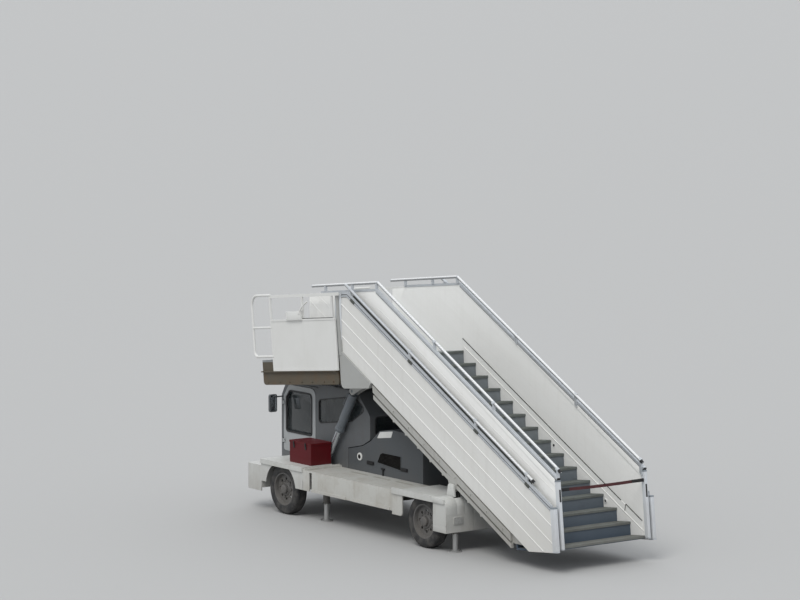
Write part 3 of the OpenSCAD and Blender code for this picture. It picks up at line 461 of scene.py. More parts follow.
def rounded(corners, radius, n=6):
    """An outline whose corners are arcs: each arc turns about a centre on the corner's bisector, and
    its points are the spherical blend of the arms to its two tangent points."""
    p = np.asarray(corners, float)
    r = np.maximum(np.broadcast_to(np.asarray(radius, float), len(p)), 0.0004)[:, None]
    u, v = np.roll(p, 1, 0) - p, np.roll(p, -1, 0) - p
    u /= np.linalg.norm(u, axis=1, keepdims=True)
    v /= np.linalg.norm(v, axis=1, keepdims=True)
    half = np.arccos(np.clip((u * v).sum(1), -0.9999, 0.9999))[:, None] / 2
    middle = (u + v) / np.linalg.norm(u + v, axis=1, keepdims=True) * r / np.sin(half)
    start, end = u * r / np.tan(half) - middle, v * r / np.tan(half) - middle
    t = np.linspace(0, 1, n + 1)[None, :, None]
    w = (math.pi - 2 * half)[..., None]
    arms = (np.sin((1 - t) * w) * start[:, None] + np.sin(t * w) * end[:, None]) / np.sin(w)
    return ((p + middle)[:, None] + arms).reshape(-1, 2)


def plate(outline, low, high, edge=0.002, axis=1):
    """A flat plate with softened edges: the outline, in the plane square to an axis, is moved in
    along its corner bisectors at both faces. Outlines are (x, z), (y, z) or (x, y) for axis 1, 0, 2."""
    outline = np.asarray(outline, float)
    ahead = np.roll(outline, -1, 0) - outline
    ahead /= np.linalg.norm(ahead, axis=1, keepdims=True)
    x, y = outline.T
    sign = np.sign((x * np.roll(y, -1) - y * np.roll(x, -1)).sum())
    out = np.stack([ahead[:, 1], -ahead[:, 0]], 1) * sign
    before = np.roll(out, 1, 0)
    corner = (out + before) / (1 + (out * before).sum(1))[:, None]
    inset = np.array([1, 0.3, 0, 0, 0.3, 1]) * edge
    level = np.array([low, low + 0.3 * edge, low + edge, high - edge, high - 0.3 * edge, high])
    rings = outline[None] - corner[None] * inset[:, None, None]
    points = np.empty((6, len(outline), 3))
    first, second = {0: (1, 2), 1: (0, 2), 2: (0, 1)}[axis]
    points[..., axis] = level[:, None]
    points[..., first], points[..., second] = rings[..., 0], rings[..., 1]
    n = len(outline)
    return points.reshape(-1, 3), [net(6, n), np.arange(n)[None, ::-1], np.arange(n)[None] + 5 * n]


def pad(u0, u1, v0, v1, radius, low, high, edge=0.002, axis=1):
    """A rectangular plate with round corners and softened edges."""
    return plate(rounded(rect(u0, u1, v0, v1), radius), low, high, edge, axis)


def fender_end(ahead):
    """Side outline of the rounded fender end, from a place ahead back to its rear face: an outer and
    an inner quarter arc, z0 + the root of r² - (x0 + r - x)², that run into level lines."""
    step = 1 - np.cos(np.linspace(0, math.pi / 2, 15))
    lines = []
    for x0, z0, r in ((rear_x - 0.002, 0.660, 0.150), (rear_x + 0.008, 0.616, 0.140)):
        x = x0 + (ahead - x0) * step
        lines.append(np.stack([x, z0 + np.sqrt(r * r - np.clip(x0 + r - x, 0, r) ** 2)], 1))
    return np.concatenate([lines[0][::-1], [(rear_x - 0.002, 0.56), (rear_x + 0.008, 0.56)], lines[1]])


rear_x, box_half = 2.225, 1.150
arch_rear, fork_rear, fork_front = 2.540, 2.2985, 2.5015
lip_line = rounded([(2.262, 0.720), (2.562, 0.720), (2.562, 0.808), (2.262, 0.798)], [0.012, 0, 0, 0.020])
covers = [plate(fender_end(arch_rear), 0.6475, 0.806),
          plate(fender_end(arch_rear), 0.9465, box_half, 0.004),
          plate(fender_end(fork_rear), 0.804, 0.9485),
          plate(rect(fork_front, arch_rear, 0.756, 0.810), 0.804, 0.9485),
          plate(lip_line, box_half - 0.001, 1.1695, 0.003)]
apron_turn = np.radians(np.arange(15, 91, 15))
apron_top = np.stack([0.645 + 0.495 * np.sin(apron_turn), 0.401 - 0.095 * np.cos(apron_turn)], 1)
apron = np.concatenate([[(0.645, 0.3005)], apron_top, [(box_half, 0.41), (box_half, 0.3005)]])
covers += [plate(apron, rear_x + 0.0005, rear_x + 0.012, 0.001, 0),
           plate(rect(rear_x + 0.001, arch_rear - 0.001, 0.3005, 0.41), box_half - 0.014, box_half - 0.0005,
                 0.001)]
covers = both_sides(covers) + [plate(fender_end(arch_rear), -0.6425, 0.6425)]
car_piece("rear_box_covers", covers, body_white)
fork_line = rounded([(2.308, 0.800), (2.492, 0.800), (2.456, 0.985), (2.344, 0.985)],
                    [0.004, 0.004, 0.034, 0.034])
car_pair("fork_shrouds", [plate(fork_line, 0.9065, 0.9415, 0.003)], body_white)
seam_screws = [(rear_x, y, z) for y in (0.625, 0.665) for z in (0.36, 0.44, 0.52)]
box_screws = [repeated(screw(0, -1), seam_screws),
              repeated(screw(1, 1), [(x, box_half, z) for x in (2.27, 2.50) for z in (0.44, 0.60)])]
car_pair("rear_box_screws", box_screws, body_white)


# Tail lamps and headlamps: lenses with fine ribs. The square ones are pale, in beads of white sheet;
# the round red ones, which the flight hides in the photograph, are in black rims.
def lens(name, colour, ribs=420.0):
    """Coloured lens plastic: glossy, with fine ribs across it from a wave in the bump."""
    s = Surface(name)
    soft = s.clouds(30, 3)
    s.feed("Base Color", s.blended(s.levels(soft, 0.3, 0.7), colour, tuple(c * 0.7 for c in colour)))
    wave = s.nodes.new("ShaderNodeTexWave")
    wave.inputs["Scale"].default_value = ribs / 6.28
    wave.bands_direction = "Y"
    s.link(s.place, wave.inputs["Vector"])
    s.feed("Roughness", 0.12)
    s.feed("Coat Weight", 0.6)
    s.bumped(wave.outputs["Fac"], 0.35, 0.002)
    return s.mat


def framed(corners, radius, fixed, axis, profile, n=6):
    """A strip carried all the way round a rounded outline that lies square to an axis."""
    flat = rounded(corners, radius, n)
    path = np.empty((len(flat), 3))
    first, second = {0: (1, 2), 1: (0, 2), 2: (0, 1)}[axis]
    path[:, axis] = fixed
    path[:, first], path[:, second] = flat.T
    side = np.eye(3)[axis]
    return carried(profile, path, side=side, close=True)


lens_pale = lens("lens_pale", (0.40, 0.40, 0.385))
dress(lens_pale, "lamps")
seal_black = rubber("seal_black", (0.014, 0.014, 0.015), 0.55, 90, 0.12)
bead = rounded(rect(-0.006, 0.006, -0.006, 0.006), 0.003, 3)
lamp_frames = [framed(rect(0.850, 1.010, 0.420, 0.520), 0.008, rear_x - 0.006, 0, bead)]
car_pair("tail_lamp_frames", lamp_frames, body_white)
lamp_red = lens("lamp_red", (0.16, 0.010, 0.008))
round_lamp_at = (rear_x, 0.330, 0.440)
round_lamps = [turned([(0.0, 0.052), (-0.012, 0.052), (-0.019, 0.046), (-0.022, 0.025), (-0.0225, 0.003)],
                      round_lamp_at, 0, 28)]
car_pair("tail_lamps_round", round_lamps, lamp_red)
lamp_rims = [turned([(0.0, 0.060), (-0.014, 0.060), (-0.016, 0.056), (-0.014, 0.051), (0.0, 0.051)],
                    round_lamp_at, 0, 28, close=True)]
car_pair("tail_lamp_rims", lamp_rims, seal_black)
lens_clear = lens("lens_clear", (0.62, 0.64, 0.66))
front_x = 7.44
headlamps = [turned([(-0.0575, 0.077), (0.001, 0.077), (0.006, 0.072), (0.011, 0.045), (0.0125, 0.004)],
                    (front_x - 0.008, 0.83, 0.56), 0, 32)]
car_pair("headlamp_lenses", headlamps, lens_clear)


# Side decks: flat sheet between the wheels with a folded skirt and a lip below it. The paint is worn
# through to brown primer where people step up, and grit strips lie along the tread.
deck_white = painted_sheet("deck_white", (0.50, 0.50, 0.47), (0.22, 0.17, 0.11), 0.42, 0.45, 1.8, 0.004,
                           (0.60, 0.59, 0.55))
dress(deck_white, "decks")
deck_z = 0.760
lip_screws = [(x, 1.162, 0.480) for x in np.arange(3.66, 5.58, 0.24)]
car_pair("deck_screws", [repeated(screw(1, 1, 0.007), lip_screws)], deck_white)
grit_pale = rubber("grit_pale", (0.36, 0.35, 0.315), 0.9, 200, 0.5)
grit = [pad(x, x + 0.42, 0.60, 0.66, 0.02, deck_z, deck_z + 0.0022, 0.0008, 2)
        for x in (3.72, 4.30, 4.88)]
car_pair("deck_grit_strips", grit, grit_pale)


# Engine cover: folded sheet in grey paint over the diesel, with a vent behind wire mesh on both sides.
# The near-black plate behind the wires is painted shade, the dark inside of the vent.
# It has two black paddle latches, a release lever, a filler cap in a white collar and a blank plate.
# Its grey is set darker than the paint's own, partly as painted shade for the cover's place under the
# flight.
cover_grey = painted_sheet("cover_grey", (0.076, 0.083, 0.089), (0.11, 0.10, 0.088), 0.30, 0.42, 1.6, 0.003,
                           (0.20, 0.20, 0.195), 0.3)
dress(cover_grey, "engine_cover")
cast_iron = painted_sheet("cast_iron", (0.05, 0.05, 0.052), (0.12, 0.09, 0.06), 0.6, 0.7, 4.0)
dress(cast_iron, "engine_block")
plastic_black = rubber("plastic_black", (0.011, 0.011, 0.012), 0.5, 90, 0.06, 0.3)
fitting_white = painted_sheet("fitting_white", (0.70, 0.70, 0.68), amount=0.2, grain=4.0)
cover_y = 0.460


def crossed(outline, pitch, y, r):
    """Wires across a convex outline in (x, z): at every step of the pitch a level line and an upright
    one, each between the lowest and highest place where the line cuts the outline's edges."""
    p, q = np.asarray(outline), np.roll(outline, -1, 0)
    wires = []
    for axis, other in ((0, 2), (1, 0)):
        low, high = p[:, axis].min(), p[:, axis].max()
        for at in np.arange(low + pitch * 0.5, high, pitch):
            cut = (p[:, axis] - at) * (q[:, axis] - at) < 0
            share = (at - p[cut, axis]) / (q[cut, axis] - p[cut, axis])
            ends = p[cut, 1 - axis] + share * (q[cut, 1 - axis] - p[cut, 1 - axis])
            line = np.full((2, 3), y)
            line[:, 2 - other] = at
            line[:, other] = ends.min(), ends.max()
            wires.append(carried(circle(r, 6), line, side=(0, 1, 0)))
    return wires


vent = [(4.2505, 0.8905), (4.8585, 0.9410), (4.7795, 1.0795), (4.7195, 1.1095), (4.2505, 1.1095)]
car_pair("vent_shade_plates", [plate(rounded(vent, 0.012), 0.4535, 0.4560, 0.0005)],
         rubber("vent_shade_dark", (0.004, 0.003, 0.002), 0.9, 60, 0.06, 0.1))
car_pair("vent_wires", crossed(vent, 0.020, 0.4572, 0.0011), plastic_black)
vent_rim = framed(vent, 0.012, cover_y + 0.001, 1, rounded(rect(-0.002, 0.004, -0.006, 0.007), 0.002, 3))
car_pair("vent_rims", [vent_rim], cover_grey)
filler_at, hinge_at, lever_x = (5.30, cover_y, 0.98), (0.40, 1.472), 4.700
latches = []
for x0, x1 in ((4.075, 4.260), (4.935, 5.120)):
    latches.append(pad(x0, x1, 0.886, 0.944, 0.012, cover_y, cover_y + 0.006, 0.002))
    latches.append(pad(x0 + 0.012, x1 - 0.030, 0.898, 0.932, 0.014, cover_y + 0.006, cover_y + 0.020,
                       0.005))
    latches.append(turned([(cover_y + 0.006, 0.011), (cover_y + 0.012, 0.011), (cover_y + 0.014, 0.008)],
                          (x1 - 0.015, 0, 0.915), 1, 16))
latches.append(pad(lever_x - 0.014, lever_x + 0.014, 0.750, 0.862, 0.010, cover_y + 0.004, cover_y + 0.016,
                   0.004))
latches.append(pad(lever_x - 0.045, lever_x + 0.045, 0.850, 0.876, 0.011, cover_y + 0.002, cover_y + 0.022,
                   0.006))
latches.append(turned([(cover_y, 0.020), (cover_y + 0.008, 0.020), (cover_y + 0.010, 0.016)],
                      (lever_x, 0, 0.765), 1, 20))
car_pair("cover_latches", latches, plastic_black)
collar = [turned([(0.0, 0.060), (0.012, 0.060), (0.016, 0.055), (0.016, 0.036), (0.010, 0.034),
                  (0.0, 0.034)], filler_at, 1, 28, close=True)]
car_piece("filler_collar", collar, fitting_white)
cap = [turned([(0.0, 0.032), (0.018, 0.032), (0.022, 0.028), (0.022, 0.010), (0.030, 0.009),
               (0.032, 0.003)], filler_at, 1, 24)]
car_piece("filler_cap", cap, plastic_black)
blank = [plate(rounded([(4.860, 1.312), (4.782, 1.416), (4.456, 1.463), (4.500, 1.362)], 0.010),
               cover_y, cover_y + 0.003, 0.001)]
car_piece("cover_blank_plate", blank, fitting_white)
hinge_line = [turned([(x, 0.009), (x + 0.09, 0.009)], (0, s * hinge_at[0], hinge_at[1]), 0, 12)
              for x in (4.12, 4.36) for s in (1, -1)]
hinge_line += [pad(x, x + 0.09, s * hinge_at[0] - 0.03, s * hinge_at[0] + 0.03, 0.004, hinge_at[1] - 0.0055,
                   hinge_at[1] - 0.0015, 0.001, 2) for x in (4.12, 4.36) for s in (1, -1)]
car_piece("cover_hinges", hinge_line, cover_grey)


# Cab: a narrow steel shell in grey, with black rubber seals round every pane. Rain gutters run
# over the doors, and the roof is ribbed.
# Its grey is set darker than the paint's own, partly as painted shade for the deep shade under the flight.
cab_grey = painted_sheet("cab_grey", (0.108, 0.115, 0.121), (0.09, 0.08, 0.067), 0.30, 0.36, 1.6, 0.003,
                         (0.24, 0.24, 0.235), 0.35)
dress(cab_grey, "cab_shell")
cab_half = 0.460
side_window = ([(5.510, 1.500), (6.390, 1.370), (6.390, 1.730), (5.640, 1.850), (5.410, 1.850),
                (5.150, 1.710)], [0.04, 0.06, 0.06, 0.06, 0.06, 0.06])
cab_front, cab_rear, roof_z = 7.410, 5.040, 1.970
windscreen, rear_pane = rect(-0.380, 0.380, 1.050, 1.640), rect(-0.360, 0.360, 1.330, 1.600)
pane_seal = rounded(rect(-0.016, 0.012, -0.010, 0.010), 0.004, 3)
seals = both_sides([framed(*side_window, cab_half - 0.006, 1, pane_seal)])
seals.append(framed(windscreen, 0.060, cab_front - 0.006, 0, pane_seal))
seals.append(framed(rear_pane, 0.050, cab_rear + 0.006, 0, pane_seal * (-1, 1)))
car_piece("cab_window_seals", seals, seal_black)
ribs = [carried(rounded(rect(-0.012, 0.012, -0.004, 0.006), 0.003, 3),
                [(5.50, y, roof_z), (7.16, y, roof_z)]) for y in np.linspace(-0.32, 0.32, 5)]
car_piece("cab_roof_ribs", ribs, cab_grey)
gutter = [carried(rounded(rect(0, 0.014, -0.004, 0.004), 0.002, 3),
                  [(6.42, cab_half - 0.001, 1.915), (7.14, cab_half - 0.001, 1.915)])]
car_pair("cab_gutters", gutter, cab_grey)


# Panes: thin tinted glass, so the seat and wheel show through. Wipers of black steel and rubber
# park across the windscreen.
def pane(name, tint):
    """Tinted glass: a thin see-through shell with sharp gloss and faint dust from noise."""
    s = Surface(name)
    dust = s.clouds(5, 5, 0.6)
    s.feed("Base Color", s.blended(s.levels(dust, 0.5, 0.8, 0, 0.3), tint, (0.16, 0.16, 0.155)))
    s.feed("Roughness", s.levels(dust, 0.4, 0.8, 0.03, 0.22))
    s.feed("Alpha", s.levels(dust, 0.3, 0.85, 0.62, 0.74))
    s.feed("Specular IOR Level", 0.8)
    return s.mat


tinted = pane("tinted_glass", (0.030, 0.037, 0.040))
dress(tinted, "cab_glass")
wipers = []
for y in (0.20, -0.16):
    wipers.append(carried(rect(-0.004, 0.004, -0.007, 0.007),
                          [(cab_front + 0.004, y, 1.03), (cab_front + 0.014, y - 0.10, 1.10),
                           (cab_front + 0.012, y - 0.22, 1.20)], side=(1, 0, 0)))
    wipers.append(carried(rect(-0.006, 0.006, -0.005, 0.005),
                          [(cab_front - 0.002, y - 0.30, 1.10), (cab_front + 0.006, y - 0.22, 1.20),
                           (cab_front - 0.002, y - 0.12, 1.34)], side=(1, 0, 0)))
    wipers.append(turned([(cab_front - 0.004, 0.017), (cab_front + 0.008, 0.017),
                          (cab_front + 0.012, 0.010)], (0, y, 1.03), 0, 14))
car_piece("wipers", wipers, plastic_black)


# Mirrors: the CAD housings get a silvered glass, set in the face that looks back along the cab.
def silvered(name):
    """Mirror glass: metal with almost no roughness, a little uneven from noise."""
    s = Surface(name)
    haze = s.clouds(14, 3)
    s.feed("Base Color", s.blended(haze, (0.62, 0.66, 0.70), (0.70, 0.73, 0.76)))
    s.feed("Metallic", 1.0)
    s.feed("Roughness", s.levels(haze, 0.3, 0.7, 0.02, 0.09))
    return s.mat


mirror_face = silvered("mirror_glass")
glass = [pad(0.578, 0.682, 1.458, 1.702, 0.020, cab_front - 0.0215, cab_front - 0.0195, 0.0006, 0)]
car_pair("mirror_glasses", glass, mirror_face)


# Cab doors: a pressed frame in a lighter grey, with a pane of the same glass in a rubber seal, a lever
# handle and hinge screws.
door_light = painted_sheet("door_light", (0.34, 0.355, 0.36), (0.18, 0.165, 0.14), 0.25, 0.34, 1.8, 0.003,
                           (0.46, 0.46, 0.45))
dress(door_light, "cab_door_left", "cab_door_right")
door_rear = 6.470
door_window = ([(door_rear + 0.105, 1.150), (7.260, 1.150), (7.260, 1.680), (7.170, 1.790),
                (door_rear + 0.105, 1.790)], [0.04, 0.04, 0.04, 0.05, 0.07])
for hand, s in hands:
    seal = [framed(*door_window, cab_half + 0.005, 1, rounded(rect(-0.008, 0.012, -0.016, 0.010), 0.004,
            3))]
    made(f"door_seal_{hand}", on_car(handed(seal, s)), f"door_{hand}", seal_black)
    door_pane = [plate(rounded(door_window[0], door_window[1]), cab_half - 0.018, cab_half - 0.012, 0.001)]
    made(f"door_pane_{hand}", on_car(handed(door_pane, s)), f"door_{hand}", tinted)
    grip = [pad(6.495, 6.625, 1.035, 1.085, 0.014, cab_half + 0.006, cab_half + 0.010, 0.001),
            pad(6.505, 6.610, 1.050, 1.070, 0.008, cab_half + 0.010, cab_half + 0.024, 0.004),
            repeated(screw(1, 1, 0.005),
                     [(7.305, cab_half + 0.020, z) for z in (0.975, 1.005, 1.575, 1.605)])]
    made(f"door_handle_{hand}", on_car(handed(grip, s)), f"door_{hand}", plastic_black)


# Driver's seat: two foam cushions in black leather-cloth, each blown out a little over its sewn
# edge by a cloth simulation, on a plain steel pedestal. They stand for the CAD seat.
def leathercloth(name, colour):
    """Grained leather-cloth: small cells in the bump, and slightly greyer rubbed patches."""
    s = Surface(name)
    cells = s.nodes.new("ShaderNodeTexVoronoi")
    cells.inputs["Scale"].default_value = 260
    s.link(s.place, cells.inputs["Vector"])
    rubbed = s.clouds(6, 5, 0.6)
    s.feed("Base Color", s.blended(s.levels(rubbed, 0.45, 0.75, 0, 0.5), colour, (0.10, 0.098, 0.094)))
    s.feed("Roughness", s.levels(rubbed, 0.3, 0.7, 0.62, 0.48))
    s.bumped(cells.outputs["Distance"], 0.25, 0.0012)
    return s.mat


seat_black = leathercloth("seat_black", (0.028, 0.028, 0.030))
cushion_voxel, cushion_swell = 0.012, 0.009


def cushion(name, outline, low, high):
    """A padded slab: a plate a little smaller than its CAD solid, remeshed, blown up by cloth
    pressure for 20 steps, with every point held near to where it started."""
    shell = on_car([plate(outline, low, high, 0.022, 1)])
    piece = made(name, shell, "chassis", seat_black, 180)
    remesh = piece.modifiers.new("remesh", "REMESH")
    remesh.mode = "VOXEL"
    remesh.voxel_size = cushion_voxel
    bpy.context.view_layer.update()
    fine = bpy.data.meshes.new_from_object(piece.evaluated_get(bpy.context.evaluated_depsgraph_get()))
    piece.modifiers.clear()
    piece.data = fine
    start = np.empty(len(fine.vertices) * 3)
    fine.vertices.foreach_get("co", start)
    start = start.reshape(-1, 3)
    cloth = piece.modifiers.new("cloth", "CLOTH")
    cloth.settings.use_pressure = True
    cloth.settings.uniform_pressure_force = 4
    cloth.settings.effector_weights.gravity = 0
    for step in range(1, 21):
        bpy.context.scene.frame_set(step)
    blown = bpy.data.meshes.new_from_object(piece.evaluated_get(bpy.context.evaluated_depsgraph_get()))
    moved = np.empty(len(blown.vertices) * 3)
    blown.vertices.foreach_get("co", moved)
    move = moved.reshape(-1, 3) - start
    length = np.linalg.norm(move, axis=1, keepdims=True)
    start += move * np.minimum(1, cushion_swell / np.maximum(length, 1e-9))
    piece.modifiers.clear()
    fine.vertices.foreach_set("co", start.ravel())
    bpy.context.scene.frame_set(1)
    fine.shade_smooth()
    if not fine.materials:
        fine.materials.append(seat_black)
    return piece


seat_edge = rect(5.962, 6.338, 1.062, 1.148)
base_outline = rounded(seat_edge, 0.03, 5)
back_outline = rounded([(5.908, 1.170), (6.005, 1.170), (5.897, 1.668), (5.812, 1.668)], 0.03, 5)
seat_base = cushion("seat_cushion", base_outline, -0.215, 0.215)
cushion("seat_back", back_outline, -0.205, 0.205)
pedestal = [pad(6.00, 6.30, 0.72, 1.045, 0.02, -0.15, 0.15, 0.008),
            pad(5.96, 6.34, 1.040, 1.058, 0.006, -0.20, 0.20, 0.004)]
pedestal += [carried(circle(0.012), [(5.925, y, 1.05), (5.905, y, 1.16), (5.815, y, 1.55)])
             for y in (0.20, -0.20)]
car_piece("seat_pedestal", pedestal, frame_black)
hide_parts("cab_seat")
piping = [framed(seat_edge, 0.03, s * 0.212, 1, circle(0.004, 6)) for s in (1, -1)]
car_piece("seat_piping", piping, seal_black)


# Console and steering wheel: black moulded plastic, with two round gauges and a row of rocker
# switches on either side of them.
console_plastic = rubber("console_plastic", (0.035, 0.035, 0.038), 0.5, 120, 0.2)
dress(console_plastic, "cab_console")
gauges = [turned([(1.045, 0.042), (1.062, 0.042), (1.066, 0.038), (1.066, 0.034), (1.061, 0.033),
                  (1.060, 0.004)], (7.17, y, 0), 2, 24) for y in (-0.06, 0.06)]
switches = [pad(7.145, 7.190, y - 0.011, y + 0.011, 0.003, 1.045, 1.064, 0.003, 2)
            for y in (0.15, 0.19, 0.23, 0.27, -0.15, -0.19, -0.23, -0.27)]
car_piece("console_controls", gauges + switches, plastic_black)


# Locker: a dark red steel box on the front deck, with two over-centre catches.
# Its red is the paint's, set darker and deeper as painted shade for the locker's place under the flight.
locker_red = painted_sheet("locker_red", (0.088, 0.004, 0.007), (0.045, 0.012, 0.010), 0.30, 0.36, 2.0,
                           0.002, (0.15, 0.03, 0.028), 0.2)
dress(locker_red, "locker")
catches = []
for x in (6.00, 6.31):
    catches.append(pad(x - 0.020, x + 0.020, 1.045, 1.100, 0.005, 0.980, 0.988, 0.002))
    catches.append(pad(x - 0.014, x + 0.014, 1.085, 1.146, 0.005, 0.986, 0.996, 0.003))
car_piece("locker_catches", catches, plastic_black)


# Stabilisers: round steel legs, greased and dusty, that slide in flanged housings. Each foot is a
# round pad with a folded rim, and a pinned collar above it.
def bare_metal(name, colour, rough=0.35, stretch=(1, 1, 1), grime=(0.12, 0.11, 0.09), amount=0.4,
               metal=0.95, below=0.0):
    """Bare or plated metal: the gloss varies along fine lines, and grime lies in soft patches. By the
    share called below, the faces that do not look up are darkened towards the grime colour as painted
    shade."""
    s = Surface(name)
    lines = s.clouds(90, 3, 0.6, stretch)
    patches = s.clouds(5, 6, 0.6)
    tone = s.blended(s.levels(lines, 0.3, 0.7), colour, tuple(c * 0.82 for c in colour))
    tone = s.blended(s.levels(patches, 0.5, 0.85, 0, amount), tone, grime)
    facing = s.height(s.nodes.new("ShaderNodeNewGeometry").outputs["Normal"])
    # Painted shade: faces that look down are darkened towards the grime colour by the share called below.
    tone = s.blended(s.levels(facing, 0.45, 0.05, 0, below), tone, grime)
    s.feed("Base Color", tone)
    s.feed("Metallic", s.levels(patches, 0.3, 0.85, metal, metal * 0.5))
    s.feed("Roughness", s.levels(lines, 0.3, 0.7, rough, rough + 0.14))
    s.bumped(lines, 0.06, 0.001)
    return s.mat


housing_black = painted_sheet("housing_black", (0.035, 0.036, 0.038), (0.15, 0.13, 0.10), 0.4, 0.5, 3.0)
dress(housing_black, "stabiliser_housings")
leg_steel = bare_metal("leg_steel", (0.46, 0.46, 0.45), 0.4, (1, 1, 0.05))
leg_xs, leg_y = (2.335, 5.560), 0.900
for end, x in zip(("rear", "front"), leg_xs):
    flange = np.arange(6) * math.pi / 3
    heads = np.stack([x + 0.0565 * np.cos(flange), leg_y + 0.0565 * np.sin(flange), np.full(6, 0.270)], 1)
    car_pair(f"housing_bolts_{end}", [repeated(bolt(2, -1, 0.010), heads)], housing_black)
    for hand, s in hands:
        dress(leg_steel, f"leg_{end}_{hand}")
        rim_ring = turned([(0.004, 0.093), (0.010, 0.097), (0.022, 0.097), (0.024, 0.094), (0.022, 0.091),
                           (0.014, 0.090)], (x, s * leg_y, 0), 2, 32, close=True)
        pin_body = carried(circle(0.007, 10),
                           [(x - 0.045, s * leg_y, 0.060), (x + 0.045, s * leg_y, 0.060)], side=(0, 1, 0))
        made(f"foot_rim_{end}_{hand}", on_car([rim_ring, pin_body]), f"leg_{end}_{hand}",
             leg_steel)


# Lift cylinders: painted barrels with a ribbed gland nut, welded ports and steel pipes clipped
# along the barrel; the rods are hard-chromed steel with a film of oil.
barrel_blue = painted_sheet("barrel_blue", (0.125, 0.142, 0.160), (0.09, 0.08, 0.065), 0.30, 0.34, 3.0,
                            0.003, (0.26, 0.27, 0.28))
dress(barrel_blue, "lift_barrel_left", "lift_barrel_right")
rod_chrome = bare_metal("rod_chrome", (0.50, 0.53, 0.56), 0.16, (1, 1, 1), (0.20, 0.18, 0.15), 0.2)
dress(rod_chrome, "lift_rod_left", "lift_rod_right")
lift_top, lift_base, lift_y = np.array([5.320, 1.990]), np.array([6.130, 0.700]), 0.540
lift_run = (lift_base - lift_top) / np.linalg.norm(lift_base - lift_top)
lift_len = np.linalg.norm(lift_base - lift_top)


def on_lift(points):
    """Turns points given as (out to the side, outwards from the cylinder's upper side, along it from
    the top pin) into the vehicle's frame."""
    u, v, along = np.asarray(points, float).T
    x = lift_top[0] + lift_run[0] * along + lift_run[1] * -v
    z = lift_top[1] + lift_run[1] * along + lift_run[0] * v
    return np.stack([x, lift_y + u, z], 1)


gland_profile = [(0.0, 0.0765), (0.004, 0.0790), (0.030, 0.0790), (0.034, 0.0760), (0.050, 0.0760),
                 (0.052, 0.0600)]
for hand, s in hands:
    gland, gland_faces = turned([(-0.004, 0.050)] + gland_profile + [(0.052, 0.049), (-0.004, 0.049)],
                                (0, 0, 0), 2, 36, close=True)
    gland = on_lift(gland + (0, 0, lift_len / 2 - 0.045))
    pipe_runs = [[(0.0, 0.066, 0.16), (0.0, 0.092, 0.165), (0.0, 0.096, 0.19),
                  (0.0, 0.096, lift_len / 2 - 0.16), (0.0, 0.092, lift_len / 2 - 0.135),
                  (0.0, 0.070, lift_len / 2 - 0.128)],
                 [(0.03, 0.060, 0.13), (0.034, 0.086, 0.135), (0.036, 0.090, 0.16), (0.036, 0.090, 0.34)]]
    pipes = [carried(circle(0.0065, 10), on_lift(run), side=(0, 1, 0)) for run in pipe_runs]
    bosses = []
    for u, a in ((0.0, 0.155), (0.0, lift_len / 2 - 0.13), (0.026, 0.125)):
        outer = on_lift([(u, 0.058, a), (u, 0.080, a)])
        bosses.append(carried(circle(0.017, 6), outer, side=(0, 1, 0)))
    shells = [(gland, gland_faces)] + pipes + bosses
    made(f"barrel_fittings_{hand}", on_car(handed(shells, s)), f"barrel_{hand}", barrel_blue)


# Lower flight's side panels: interlocking planks of extruded aluminium in white paint, with a
# raised joint between planks. Fine lines along the plank come from the die. Each raised joint takes
# the lighter plank paint as a painted highlight, and a grey line just below it is painted shadow.
tilt = math.radians(6.2)
going, rise = 0.282, 0.191
first_nose = (0.388, 0.261)
slope = math.atan2(rise, going)


def on_flight(shells):
    """Turns shells given along the flight, across it and up from it into the shared frame: tipped
    nose-down by the parking tilt about the lower corner, 0.32 m above the ground."""
    turn = np.array([[math.cos(tilt), 0, math.sin(tilt)], [0, 1, 0], [-math.sin(tilt), 0, math.cos(tilt)]])
    return [(points @ turn.T + (0, 0, 0.32) - row_shift, faces) for points, faces in shells]


def flight_piece(name, shells, body, material, smooth=38):
    """One object on a body of the flight, from shells given along the flight."""
    return made(name, on_flight(shells), body, material, smooth)


def flight_pair(name, shells, body, material, smooth=38):
    """One object on a body of the flight, from shells of the left side and their mirror images."""
    return flight_piece(name, both_sides(shells), body, material, smooth)


def nose(a):
    """Height of the upper flight's nose line at a distance along it."""
    return first_nose[1] + (a - first_nose[0]) * rise / going


def planked(name, colour, grime, amount=0.16, rough=0.34):
    """Painted plank: paint with fine lines along the slope, faint vertical runs and specks of dirt,
    and darker dust towards the ground."""
    s = Surface(name)
    turn = s.nodes.new("ShaderNodeMapping")
    turn.inputs["Rotation"].default_value = (0, slope - tilt, 0)
    s.link(s.place, turn.inputs["Vector"])
    lines = s.clouds(60, 2, 0.5, (0.02, 1, 1), turn.outputs[0])
    wide = s.clouds(4, 4, 0.55, (0.12, 1, 1), turn.outputs[0])
    runs = s.clouds(9, 5, 0.6, (1, 1, 0.10))
    specks = s.clouds(55, 4)
    tone = s.blended(s.levels(wide, 0.4, 0.75, 0, amount), colour, grime)
    tone = s.blended(s.levels(lines, 0.45, 0.8, 0, amount * 0.6), tone, grime)
    tone = s.blended(s.levels(runs, 0.50, 0.85, 0, amount * 1.4), tone, grime)
    tone = s.blended(s.levels(specks, 0.62, 0.80, 0, amount * 1.5), tone, grime)
    tone = s.blended(s.levels(s.height(s.place), 1.1, 0.3, 0, 0.20), tone, grime)
    s.feed("Base Color", tone)
    s.feed("Roughness", s.levels(runs, 0.3, 0.8, rough, rough + 0.2))
    rounded_edge = s.nodes.new("ShaderNodeBevel")
    rounded_edge.samples = 4
    rounded_edge.inputs["Radius"].default_value = 0.003
    s.bumped(lines, 0.05, 0.002, rounded_edge.outputs[0])
    return s.mat


plank_white = planked("plank_white", (0.67, 0.668, 0.645), (0.36, 0.335, 0.29), 0.12)
